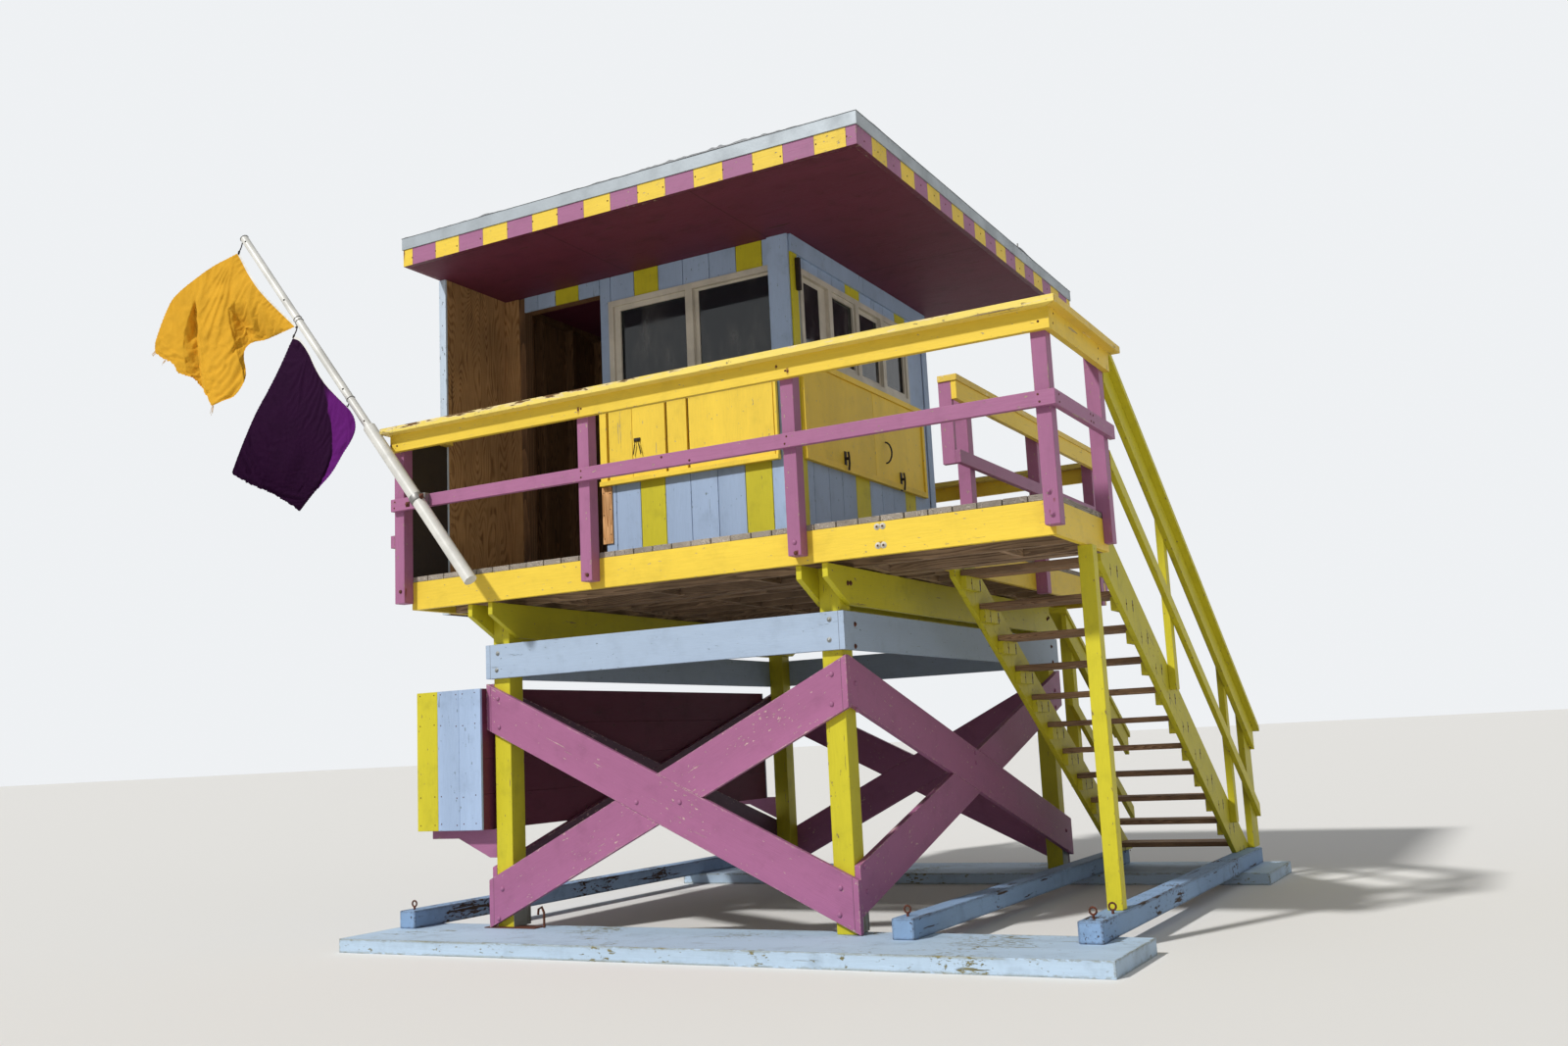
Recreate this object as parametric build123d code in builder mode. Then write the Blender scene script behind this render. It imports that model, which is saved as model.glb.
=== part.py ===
from build123d import *
import os
from math import hypot

os.makedirs("parts", exist_ok=True)

# lifeguard tower, millimetres
# x runs along the front rail from the seaward left corner, y from the front towards the back, z up

# plan datum lines
deck_left = -1151.5
deck_front = -2230.0

# sawn lumber sizes
board = 38.0
two_by_four = 89.0
two_by_six = 140.0
two_by_ten = 235.0
two_by_twelve = 286.0
post_size = 140.0
rail_post = 89.0

# base
sleeper_height = 90.0
sleeper_depth = 800.0
back_sleeper_depth = 930.0
sleeper_lip = 330.0
sleeper_reach = 245.0
front_sleeper_lip = 400.0
back_sleeper_lip = 840.0
skid_width = 140.0
skid_height = 120.0
skid_set_in = 100.0
skid_reach = 10.0

# main frame: where the posts stand in from the deck's edges
post_set_left = 474.0
post_set_right = 556.0
post_set_front = 254.0
post_set_back = 470.0

# deck
deck_width = 3603.0
deck_depth = 4650.0
landing_reach = 1052.0
landing_depth = 1027.0
deck_top = 2510.0
fascia_height = 196.0
girder_height = 235.0
joist_pitch = 406.0
joist_count = 11

# cabin
cabin_set_right = 1094.0
cabin_set_front = 1115.0
cabin_set_back = 1093.0
wall_overhang = 133.0
wall = 100.0
wing_reach = 706.0
wing_thickness = 64.0
room_height = 2315.0
header_height = 120.0
door_set_left = 248.0
door_width = 735.0
sill_above_deck = 1350.0
window_drop = 199.0
window_set_left = 85.0
window_set_right = 120.0
back_window_shift = 35.0
side_window_set_front = 135.0
side_window_set_back = 417.0
side_sill_rise = 90.0

# roof: how far it reaches past the cabin, and its edge
roof_reach_right = 1089.0
roof_reach_front = 1097.0
roof_reach_back = 793.0
roof_thickness = 217.0
drip_height = 90.0
drip_lip = 8.0
roof_skin = 6.0

# railing
rail_height = 1067.0
mid_rail_height = 550.0
post_drop = 190.0
first_bay = 1615.0
second_bay = 1530.0
left_overhang = 115.0

# stair
tread_count = 11
first_rise = 231.0
riser = 198.5
stringer_slope = 0.645
stringer_rise = 57.5
stair_width = 997.0
tread_depth = 286.0

# levels that follow from the sizes above
board_seat = deck_top - board
fascia_foot = board_seat - fascia_height
girder_foot = fascia_foot - girder_height
cap_top = deck_top + rail_height
cap_seat = cap_top - board
mid_rail_top = deck_top + mid_rail_height
mid_rail_foot = mid_rail_top - two_by_four
post_foot = deck_top - post_drop
soffit_height = deck_top + room_height
door_head = soffit_height - header_height
window_head = soffit_height - window_drop
sill_height = deck_top + sill_above_deck
stringer_top_at_landing = deck_top + stringer_rise

deck_right = deck_left + deck_width
landing_right = deck_right + landing_reach
landing_back = deck_front + landing_depth
deck_back = deck_front + deck_depth

post_x = (deck_left + post_set_left, deck_right - post_set_right)
post_y = (deck_front + post_set_front, deck_back - post_set_back)

foot_align = (Align.CENTER, Align.CENTER, Align.MIN)


def bar(x0, x1, y0, y1, z0, z1, mode=Mode.ADD):
    """A square-cut board or block between two x, two y and two z values."""
    with Locations(((x0 + x1) / 2, (y0 + y1) / 2, (z0 + z1) / 2)):
        Box(x1 - x0, y1 - y0, z1 - z0, mode=mode)


def slant_x(points, y0, y1):
    """A board with a shaped outline in x and z, between two y values."""
    with BuildSketch(Plane.XZ.offset(-y1)) as outline:
        Polygon(*points, align=None)
    extrude(outline.sketch, amount=y1 - y0)


def slant_y(points, x0, x1):
    """A board with a shaped outline in y and z, between two x values."""
    with BuildSketch(Plane.YZ.offset(x0)) as outline:
        Polygon(*points, align=None)
    extrude(outline.sketch, amount=x1 - x0)


def stringer_top(y):
    """Height of the stringers' upper edge at a y value."""
    return stringer_top_at_landing - stringer_slope * (y - landing_back)


# two wide timbers lie across the sand, front and back
sleeper_x0 = deck_left - sleeper_lip
sleeper_x1 = landing_right + sleeper_reach
front_sleeper_y = (deck_front - front_sleeper_lip, deck_front - front_sleeper_lip + sleeper_depth)
back_sleeper_y = (deck_back - back_sleeper_lip, deck_back - back_sleeper_lip + back_sleeper_depth)
with BuildPart() as sleepers:
    for y0, y1 in (front_sleeper_y, back_sleeper_y):
        bar(sleeper_x0, sleeper_x1, y0, y1, 0, sleeper_height)
sleepers.part.label = "sleepers"
export_step(sleepers.part, "parts/sleepers.step")

# three skid timbers run front to back on the sleepers
skid_top = sleeper_height + skid_height
skid_x = (deck_left - 270, deck_right + board - skid_width - 26, deck_right + stair_width - board)
skid_y0 = deck_front + skid_set_in
skid_y1 = deck_back + skid_reach
with BuildPart() as skids:
    for x0 in skid_x:
        bar(x0, x0 + skid_width, skid_y0, skid_y1, sleeper_height, skid_top)
skids.part.label = "skids"
export_step(skids.part, "parts/skids.step")

# four main posts carry the girders
with BuildPart() as main_posts:
    for x0 in post_x:
        for y0 in post_y:
            bar(x0, x0 + post_size, y0, y0 + post_size, sleeper_height, fascia_foot)
main_posts.part.label = "main_posts"
export_step(main_posts.part, "parts/main_posts.step")

# a short block behind each front post foot
foot_block_height = 190.0
foot_block_shift = 30.0
foot_block_overlap = 60.0
with BuildPart() as foot_blocks:
    for x0 in post_x:
        block_x = x0 + foot_block_shift
        y0 = post_y[0] + post_size
        y1 = front_sleeper_y[1] + foot_block_overlap
        bar(block_x, block_x + two_by_four, y0, y1, sleeper_height, sleeper_height + foot_block_height)
foot_blocks.part.label = "foot_blocks"
export_step(foot_blocks.part, "parts/foot_blocks.step")

# paired girders with sloping ends stand on either side of the posts
girder_front = deck_front + board
girder_back = deck_back - board
taper_length = 280.0
taper_height = 150.0
girder_outline = [
    (girder_front, fascia_foot),
    (girder_front, girder_foot + taper_height),
    (girder_front + taper_length, girder_foot),
    (girder_back - taper_length, girder_foot),
    (girder_back, girder_foot + taper_height),
    (girder_back, fascia_foot),
]
with BuildPart() as girders:
    for x0 in post_x:
        slant_y(girder_outline, x0 - board, x0)
        slant_y(girder_outline, x0 + post_size, x0 + post_size + board)
girders.part.label = "girders"
export_step(girders.part, "parts/girders.step")

# band boards tie the posts just under the girders
band_gap = 41.0
band_top = girder_foot - band_gap
band_foot = band_top - two_by_ten
frame_left = post_x[0] - board
frame_right = post_x[1] + post_size + board
frame_front = post_y[0] - board
frame_back = post_y[1] + post_size + board
with BuildPart() as cross_bands:
    bar(frame_left, frame_right, frame_front, post_y[0], band_foot, band_top)
    bar(frame_left + board, frame_right - board, frame_back - board, frame_back, band_foot, band_top)
cross_bands.part.label = "cross_bands"
export_step(cross_bands.part, "parts/cross_bands.step")

with BuildPart() as side_bands:
    bar(frame_left, frame_left + board, post_y[0], frame_back, band_foot, band_top)
    bar(frame_right - board, frame_right, post_y[0], frame_back, band_foot, band_top)
side_bands.part.label = "side_bands"
export_step(side_bands.part, "parts/side_bands.step")

# crossed braces on the four sides; the side ones start higher above the sleepers
brace_gap = 31.0
brace_high = band_foot - brace_gap
side_brace_rise = 100.0


def brace_cut(a0, a1, low):
    """Height of the upright cut at a brace's end, which grows with its slope."""
    slope = (brace_high - low) / (a1 - a0)
    return two_by_twelve * hypot(1, slope * 0.8)


def through_brace(a0, a1, low, falls):
    """Outline of the whole brace; it falls from its first end, or rises from it."""
    cut = brace_cut(a0, a1, low)
    if falls:
        return [(a0, brace_high - cut), (a0, brace_high), (a1, low + cut), (a1, low)]
    return [(a0, low), (a0, low + cut), (a1, brace_high), (a1, brace_high - cut)]


def split_brace(a0, a1, low, falls):
    """Outlines of the two halves of the crossing brace, cut to fit against the whole one."""
    cut = brace_cut(a0, a1, low)
    slope = (brace_high - low - cut) / (a1 - a0)
    middle = (a0 + a1) / 2
    level = (brace_high + low) / 2
    half_width = cut / slope / 2
    left_tip = (middle - half_width, level)
    right_tip = (middle + half_width, level)
    if falls:
        first = [(a0, brace_high - cut), (a0, brace_high), (middle, level + cut / 2), left_tip]
        second = [(a1, low), (a1, low + cut), right_tip, (middle, level - cut / 2)]
        return first, second
    first = [(a0, low + cut), (a0, low), (middle, level - cut / 2), left_tip]
    second = [(a1, brace_high), (a1, brace_high - cut), right_tip, (middle, level + cut / 2)]
    return first, second


front_span = (frame_left, frame_right, sleeper_height)
back_span = (frame_left + board, frame_right - board, sleeper_height)
side_span = (post_y[0], frame_back, sleeper_height + side_brace_rise)
back_face = frame_back - board
with BuildPart() as falling_braces:
    slant_x(through_brace(*front_span, True), frame_front, post_y[0])
    slant_x(through_brace(*back_span, False), back_face, frame_back)
    slant_y(through_brace(*side_span, True), frame_right - board, frame_right)
    slant_y(through_brace(*side_span, False), frame_left, frame_left + board)
falling_braces.part.label = "falling_braces"
export_step(falling_braces.part, "parts/falling_braces.step")

with BuildPart() as rising_braces:
    for outline in split_brace(*front_span, False):
        slant_x(outline, frame_front, post_y[0])
    for outline in split_brace(*back_span, True):
        slant_x(outline, back_face, frame_back)
    for outline in split_brace(*side_span, False):
        slant_y(outline, frame_right - board, frame_right)
    for outline in split_brace(*side_span, True):
        slant_y(outline, frame_left, frame_left + board)
rising_braces.part.label = "rising_braces"
export_step(rising_braces.part, "parts/rising_braces.step")

# long board locker hung outside the left posts
locker_width = 580.0
locker_height = 960.0
locker_set_front = 150.0
locker_set_back = 550.0
locker_x0 = frame_left - locker_width
locker_y0 = deck_front + locker_set_front
locker_y1 = deck_back - locker_set_back
locker_top = brace_high - 32
locker_foot = locker_top - locker_height
with BuildPart() as locker:
    bar(locker_x0, frame_left, locker_y0, locker_y1, locker_foot, locker_top)
locker.part.label = "locker"
export_step(locker.part, "parts/locker.step")

# each bracket is an arm under the locker with a slanting knee
arm_height = 60.0
arm_reach = 540.0
knee_reach = 300.0
knee_drop = 190.0
knee_toe = 60.0
arm_foot = locker_foot - arm_height
knee_root = frame_left + board
knee_outline = [
    (knee_root, arm_foot),
    (knee_root, locker_foot - knee_drop),
    (knee_root - knee_toe, locker_foot - knee_drop),
    (frame_left - knee_reach, arm_foot),
]
with BuildPart() as locker_brackets:
    for y0 in (post_y[0], post_y[1] + post_size - board):
        bar(frame_left - arm_reach, knee_root, y0, y0 + board, arm_foot, locker_foot)
        slant_x(knee_outline, y0, y0 + board)
locker_brackets.part.label = "locker_brackets"
export_step(locker_brackets.part, "parts/locker_brackets.step")

# fascia boards round the deck edge
with BuildPart() as front_fascia:
    bar(deck_left, landing_right, deck_front, deck_front + board, fascia_foot, board_seat)
front_fascia.part.label = "front_fascia"
export_step(front_fascia.part, "parts/front_fascia.step")

with BuildPart() as side_fascias:
    bar(deck_left - board, deck_left, deck_front, deck_back, fascia_foot, board_seat)
    bar(deck_right - board, deck_right, landing_back, deck_back, fascia_foot, board_seat)
    bar(landing_right - board, landing_right, deck_front + board, landing_back, fascia_foot, board_seat)
side_fascias.part.label = "side_fascias"
export_step(side_fascias.part, "parts/side_fascias.step")

with BuildPart() as back_fascia:
    bar(deck_left, deck_right - board, deck_back - board, deck_back, fascia_foot, board_seat)
back_fascia.part.label = "back_fascia"
export_step(back_fascia.part, "parts/back_fascia.step")

# floor joists run left to right; the doubled pair stands at the back of the landing
with BuildPart() as joists:
    for i in range(1, joist_count):
        y0 = deck_front + i * joist_pitch
        if abs(y0 + board - landing_back) > 3 * board:
            right = landing_right if y0 < landing_back else deck_right
            bar(deck_left, right - board, y0, y0 + board, fascia_foot, board_seat)
    bar(deck_left, deck_right - board, landing_back, landing_back + board, fascia_foot, board_seat)
joists.part.label = "joists"
export_step(joists.part, "parts/joists.step")

with BuildPart() as landing_rim:
    bar(deck_left, landing_right - board, landing_back - 2 * board, landing_back, fascia_foot, board_seat)
landing_rim.part.label = "landing_rim"
export_step(landing_rim.part, "parts/landing_rim.step")

# deck boards as one plate with the landing
with BuildPart() as deck:
    bar(deck_left - board, deck_right, deck_front, deck_back, board_seat, deck_top)
    bar(deck_right, landing_right, deck_front, landing_back, board_seat, deck_top)
deck.part.label = "deck"
export_step(deck.part, "parts/deck.step")

# rail posts are bolted outside the front fascia
left_face = deck_left - left_overhang
rail_post_x = landing_right - 35
front_post_x = (left_face, left_face + first_bay, left_face + first_bay + second_bay, rail_post_x)
rail_face = deck_front - rail_post
with BuildPart() as front_rail_posts:
    for x0 in front_post_x:
        bar(x0, x0 + rail_post, rail_face, deck_front, post_foot, cap_seat)
front_rail_posts.part.label = "front_rail_posts"
export_step(front_rail_posts.part, "parts/front_rail_posts.step")

# posts on the side edges stand outside the fascias; the landing's is notched round its fascia
landing_post_y = landing_back - 97
inner_post_y = (deck_back - 1880, deck_back - 440)
inner_post_foot = fascia_foot - 31
top_post_y = landing_back + 283
top_post_outline = [
    (top_post_y, stringer_top(top_post_y)),
    (top_post_y, cap_seat),
    (top_post_y + rail_post, cap_seat),
    (top_post_y + rail_post, stringer_top(top_post_y + rail_post)),
]
end_post_y = landing_back + 23
with BuildPart() as side_rail_posts:
    y1 = landing_post_y + rail_post
    bar(rail_post_x, rail_post_x + rail_post, landing_post_y, y1, deck_top, cap_seat)
    bar(landing_right, rail_post_x + rail_post, landing_post_y, y1, post_foot, deck_top)
    for y0 in inner_post_y:
        bar(deck_right, deck_right + rail_post, y0, y0 + rail_post, inner_post_foot, cap_seat)
    slant_y(top_post_outline, deck_right, deck_right + rail_post)
    bar(deck_right, deck_right + rail_post, end_post_y, end_post_y + board, mid_rail_foot, cap_seat)
side_rail_posts.part.label = "side_rail_posts"
export_step(side_rail_posts.part, "parts/side_rail_posts.step")

back_bay = 1233.0
back_post_x = [left_face + i * back_bay for i in range(3)] + [deck_right - rail_post]
back_rail_face = deck_back + rail_post
with BuildPart() as back_rail_posts:
    for x0 in back_post_x:
        bar(x0, x0 + rail_post, deck_back, back_rail_face, post_foot, cap_seat)
back_rail_posts.part.label = "back_rail_posts"
export_step(back_rail_posts.part, "parts/back_rail_posts.step")

# rails: a board on edge under the cap, and a lighter one half way down
landing_face = rail_post_x + rail_post
inner_face = deck_right + rail_post
cabin_y0 = deck_front + cabin_set_front
cabin_y1 = deck_back - cabin_set_back
wing_y = cabin_y0 - wing_reach


def front_and_back_rails(z0, z1):
    """The rails that run left to right at one level."""
    bar(left_face, landing_face + board, rail_face - board, rail_face, z0, z1)
    bar(left_face, deck_right, back_rail_face, back_rail_face + board, z0, z1)


def front_to_back_rails(z0, z1):
    """The rails beside the landing and over the stair at one level."""
    bar(landing_face, landing_face + board, rail_face, end_post_y, z0, z1)
    bar(inner_face, inner_face + board, end_post_y, deck_back, z0, z1)


with BuildPart() as cross_upper_rails:
    front_and_back_rails(cap_seat - two_by_six, cap_seat)
cross_upper_rails.part.label = "cross_upper_rails"
export_step(cross_upper_rails.part, "parts/cross_upper_rails.step")

with BuildPart() as side_upper_rails:
    front_to_back_rails(cap_seat - two_by_six, cap_seat)
side_upper_rails.part.label = "side_upper_rails"
export_step(side_upper_rails.part, "parts/side_upper_rails.step")

with BuildPart() as cross_mid_rails:
    front_and_back_rails(mid_rail_foot, mid_rail_top)
cross_mid_rails.part.label = "cross_mid_rails"
export_step(cross_mid_rails.part, "parts/cross_mid_rails.step")

with BuildPart() as side_mid_rails:
    front_to_back_rails(mid_rail_foot, mid_rail_top)
side_mid_rails.part.label = "side_mid_rails"
export_step(side_mid_rails.part, "parts/side_mid_rails.step")

# flat cap boards on the rails
cap_lip = 22.0
cap_front = rail_face - board - cap_lip
cap_right = landing_face + board + 2 * cap_lip
cap_left = left_face - 35
side_cap_end = landing_back + 88
left_cap_x1 = cap_left + two_by_six
front_cap_back = cap_front + two_by_six
back_cap_back = back_rail_face + board + cap_lip
back_cap_front = back_cap_back - two_by_six
with BuildPart() as cross_caps:
    bar(cap_left, cap_right, cap_front, front_cap_back, cap_seat, cap_top)
    bar(cap_left, deck_right + rail_post, back_cap_front, back_cap_back, cap_seat, cap_top)
cross_caps.part.label = "cross_caps"
export_step(cross_caps.part, "parts/cross_caps.step")

with BuildPart() as side_caps:
    bar(cap_right - two_by_six, cap_right, front_cap_back, side_cap_end, cap_seat, cap_top)
    bar(deck_right, inner_face + board, end_post_y - 10, back_cap_front, cap_seat, cap_top)
    bar(cap_left, left_cap_x1, front_cap_back, wing_y, cap_seat, cap_top)
    bar(cap_left, left_cap_x1, cabin_y1, back_cap_front, cap_seat, cap_top)
side_caps.part.label = "side_caps"
export_step(side_caps.part, "parts/side_caps.step")

# the short left rails have a boarded panel under the upper rail
panel_x0 = left_face + 25
panel_thickness = 19.0
low_rail_foot = deck_top + 210
with BuildPart() as left_rails:
    for y0, y1 in ((rail_face, wing_y), (cabin_y1, back_rail_face)):
        bar(left_face - board, left_face, y0, y1, cap_seat - two_by_six, cap_seat)
        bar(left_face - board, left_face, y0, y1, low_rail_foot, low_rail_foot + two_by_four)
left_rails.part.label = "left_rails"
export_step(left_rails.part, "parts/left_rails.step")

with BuildPart() as left_panels:
    for y0, y1 in ((deck_front, wing_y), (cabin_y1, deck_back)):
        bar(panel_x0, panel_x0 + panel_thickness, y0, y1, deck_top - 10, cap_seat)
left_panels.part.label = "left_panels"
export_step(left_panels.part, "parts/left_panels.step")

# cabin walls, hollow between them, with the doorway and windows cut through
cabin_x0 = deck_left - wall_overhang
cabin_x1 = deck_right - cabin_set_right
door_x = (cabin_x0 + door_set_left, cabin_x0 + door_set_left + door_width)
front_window_x = (door_x[1] + window_set_left, cabin_x1 - window_set_right)
back_window_x = (front_window_x[0] - back_window_shift, front_window_x[1] - back_window_shift)
right_window_y = (cabin_y0 + side_window_set_front, cabin_y1 - side_window_set_back)
right_sill = sill_height + side_sill_rise
right_head = window_head - 14
with BuildPart() as front_wall:
    bar(door_x[1], cabin_x1, cabin_y0, cabin_y0 + wall, deck_top, soffit_height)
    bar(*front_window_x, cabin_y0, cabin_y0 + wall, sill_height, window_head, Mode.SUBTRACT)
front_wall.part.label = "front_wall"
export_step(front_wall.part, "parts/front_wall.step")

with BuildPart() as door_header:
    bar(*door_x, cabin_y0, cabin_y0 + wall, door_head, soffit_height)
door_header.part.label = "door_header"
export_step(door_header.part, "parts/door_header.step")

with BuildPart() as left_wall:
    bar(cabin_x0, cabin_x0 + wall, cabin_y0, cabin_y1, deck_top, soffit_height)
    bar(cabin_x0, deck_left - board, cabin_y0, cabin_y1, fascia_foot, deck_top)
    bar(cabin_x0 + wall, door_x[0], cabin_y0, cabin_y0 + wall, deck_top, soffit_height)
left_wall.part.label = "left_wall"
export_step(left_wall.part, "parts/left_wall.step")

# a bare plywood wing screens the doorway from the side
with BuildPart() as wing_wall:
    bar(cabin_x0, cabin_x0 + wing_thickness, wing_y, cabin_y0, fascia_foot, soffit_height)
wing_wall.part.label = "wing_wall"
export_step(wing_wall.part, "parts/wing_wall.step")

with BuildPart() as right_wall:
    bar(cabin_x1 - wall, cabin_x1, cabin_y0 + wall, cabin_y1 - wall, deck_top, soffit_height)
    bar(cabin_x1 - wall, cabin_x1, *right_window_y, right_sill, right_head, Mode.SUBTRACT)
right_wall.part.label = "right_wall"
export_step(right_wall.part, "parts/right_wall.step")

with BuildPart() as back_wall:
    bar(cabin_x0 + wall, cabin_x1, cabin_y1 - wall, cabin_y1, deck_top, soffit_height)
    bar(*back_window_x, cabin_y1 - wall, cabin_y1, sill_height, window_head, Mode.SUBTRACT)
back_wall.part.label = "back_wall"
export_step(back_wall.part, "parts/back_wall.step")

# sliding windows: frames with upright bars, a little proud of the wall's outer face
frame_bar = 45.0
frame_proud = 12.0
frame_depth = 80.0
mullion = 60.0
pane_thickness = 6.0
right_lights = 4
front_frame_y = cabin_y0 - frame_proud
back_frame_y = cabin_y1 + frame_proud - frame_depth
right_frame_x = cabin_x1 + frame_proud - frame_depth


def lights(a0, a1, count):
    """Start and end of each glazed light between the bars of a frame."""
    pitch = (a1 - a0 - 2 * frame_bar + mullion) / count
    starts = [a0 + frame_bar + i * pitch for i in range(count)]
    return [(start, start + pitch - mullion) for start in starts]


with BuildPart() as window_frames:
    for window_x, y0 in ((front_window_x, front_frame_y), (back_window_x, back_frame_y)):
        bar(*window_x, y0, y0 + frame_depth, sill_height, window_head)
        for x0, x1 in lights(*window_x, 2):
            bar(x0, x1, y0, y0 + frame_depth, sill_height + frame_bar, window_head - frame_bar, Mode.SUBTRACT)
    bar(right_frame_x, right_frame_x + frame_depth, *right_window_y, right_sill, right_head)
    for y0, y1 in lights(*right_window_y, right_lights):
        z0 = right_sill + frame_bar
        z1 = right_head - frame_bar
        bar(right_frame_x, right_frame_x + frame_depth, y0, y1, z0, z1, Mode.SUBTRACT)
window_frames.part.label = "window_frames"
export_step(window_frames.part, "parts/window_frames.step")

with BuildPart() as window_panes:
    for window_x, y0 in ((front_window_x, front_frame_y), (back_window_x, back_frame_y)):
        middle = y0 + frame_depth / 2
        for x0, x1 in lights(*window_x, 2):
            bar(x0, x1, middle, middle + pane_thickness, sill_height + frame_bar, window_head - frame_bar)
    middle = right_frame_x + frame_depth / 2
    for y0, y1 in lights(*right_window_y, right_lights):
        bar(middle, middle + pane_thickness, y0, y1, right_sill + frame_bar, right_head - frame_bar)
window_panes.part.label = "window_panes"
export_step(window_panes.part, "parts/window_panes.step")

# board shutters hang folded down below the windows
shutter_thickness = 40.0
shutter_height = 645.0
side_shutter_height = 755.0
hinge_gap = 10.0
shutter_z = (sill_height - hinge_gap - shutter_height, sill_height - hinge_gap)
side_shutter_z = (right_sill - hinge_gap - side_shutter_height, right_sill - hinge_gap)
front_shutter_x = (front_window_x[0] - 95, front_window_x[1] - 19)
side_shutter_y = (right_window_y[0] - 80, right_window_y[1] + 190)
with BuildPart() as shutters:
    bar(*front_shutter_x, cabin_y0 - shutter_thickness, cabin_y0, *shutter_z)
    bar(*back_window_x, cabin_y1, cabin_y1 + shutter_thickness, *shutter_z)
    bar(cabin_x1, cabin_x1 + shutter_thickness, *side_shutter_y, *side_shutter_z)
shutters.part.label = "shutters"
export_step(shutters.part, "parts/shutters.step")

# flat roof: slab, fascia boards under a metal drip edge
roof_x = (cabin_x0, cabin_x1 + roof_reach_right)
roof_y = (cabin_y0 - roof_reach_front, cabin_y1 + roof_reach_back)
roof_top = soffit_height + roof_thickness
drip_foot = roof_top - drip_height


def ring(inset, width, z0, z1):
    """A square ring of boards set in from the roof's edge."""
    x0 = roof_x[0] + inset
    x1 = roof_x[1] - inset
    y0 = roof_y[0] + inset
    y1 = roof_y[1] - inset
    bar(x0, x1, y0, y1, z0, z1)
    bar(x0 + width, x1 - width, y0 + width, y1 - width, z0, z1, Mode.SUBTRACT)


with BuildPart() as roof_slab:
    inset = drip_lip + board
    slab_x = (roof_x[0] + inset, roof_x[1] - inset)
    slab_y = (roof_y[0] + inset, roof_y[1] - inset)
    bar(*slab_x, *slab_y, soffit_height, roof_top - roof_skin)
roof_slab.part.label = "roof_slab"
export_step(roof_slab.part, "parts/roof_slab.step")

with BuildPart() as roof_fascia:
    ring(drip_lip, board, soffit_height, drip_foot)
roof_fascia.part.label = "roof_fascia"
export_step(roof_fascia.part, "parts/roof_fascia.step")

with BuildPart() as drip_edge:
    ring(0, drip_lip + board, drip_foot, roof_top)
drip_edge.part.label = "drip_edge"
export_step(drip_edge.part, "parts/drip_edge.step")

# two thin antennas stand on the roof
antenna_radius = 6.0
front_antenna_set_left = 693.0
front_antenna_set_front = 882.0
front_antenna_height = 420.0
back_antenna_set_right = 298.0
back_antenna_set_back = 450.0
back_antenna_height = 380.0
antenna_seat = roof_top - roof_skin
with BuildPart() as antennas:
    with Locations((roof_x[0] + front_antenna_set_left, roof_y[0] + front_antenna_set_front, antenna_seat)):
        Cylinder(antenna_radius, front_antenna_height, align=foot_align)
    with Locations((roof_x[1] - back_antenna_set_right, roof_y[1] - back_antenna_set_back, antenna_seat)):
        Cylinder(antenna_radius, back_antenna_height, align=foot_align)
antennas.part.label = "antennas"
export_step(antennas.part, "parts/antennas.step")

# stair: two stringers with cleats under the treads
stringer_upright = two_by_twelve * hypot(1, stringer_slope)
stringer_x = (deck_right, deck_right + stair_width - board)


def y_where(height):
    """Where the stringers' upper edge passes a height."""
    return landing_back + (stringer_top_at_landing - height) / stringer_slope


stringer_outline = [
    (landing_back, stringer_top_at_landing - stringer_upright),
    (landing_back, board_seat),
    (y_where(board_seat), board_seat),
    (y_where(skid_top), skid_top),
    (y_where(skid_top + stringer_upright), skid_top),
]
tread_x0 = stringer_x[0] + board
tread_x1 = stringer_x[1]
nosing_below_edge = 45.0
cleat_height = 60.0
tread_levels = [deck_top - first_rise - k * riser for k in range(tread_count)]
with BuildPart() as stringers:
    for x0 in stringer_x:
        slant_y(stringer_outline, x0, x0 + board)
    for level in tread_levels[:-1]:
        y1 = y_where(level + nosing_below_edge) - 20
        y0 = y1 - tread_depth + 40
        for x0 in (tread_x0, tread_x1 - board):
            bar(x0, x0 + board, y0, y1, level - board - cleat_height, level - board)
stringers.part.label = "stringers"
export_step(stringers.part, "parts/stringers.step")

with BuildPart() as treads:
    for level in tread_levels:
        y1 = y_where(level + nosing_below_edge)
        bar(tread_x0, tread_x1, y1 - tread_depth, y1, level - board, level)
treads.part.label = "treads"
export_step(treads.part, "parts/treads.step")

# one post holds up the landing's corner
outer_post_x = stringer_x[1] + board
corner_post_y = landing_back - 477
with BuildPart() as landing_post:
    x1 = outer_post_x + rail_post
    bar(outer_post_x, x1, corner_post_y, corner_post_y + rail_post, skid_top, fascia_foot)
landing_post.part.label = "landing_post"
export_step(landing_post.part, "parts/landing_post.step")

# stair railings slope down outside the stringers
handrail_slope = 0.64
handrail_run = 3745.0
inner_handrail_run = 1560.0
handrail_start = side_cap_end
handrail_end = handrail_start + handrail_run
inner_handrail_start = handrail_end - inner_handrail_run
lower_board_drop = 650.0
outer_post_width = 50.0
end_post_depth = 240.0
outer_upper_post_set = 2395.0
outer_lower_post_set = 830.0
inner_upper_post_set = 1340.0
inner_lower_post_set = 560.0
outer_stair_posts = (
    (handrail_end - outer_upper_post_set, rail_post),
    (handrail_end - outer_lower_post_set, rail_post),
    (handrail_end - end_post_depth, end_post_depth),
)
inner_stair_post_y = (handrail_end - inner_upper_post_set, handrail_end - inner_lower_post_set)
cap_upright = board * hypot(1, handrail_slope)
post_reach = 180.0


def cap_line(y):
    """Height of the sloping cap's top at a y value."""
    return cap_top - handrail_slope * (y - handrail_start)


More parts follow.
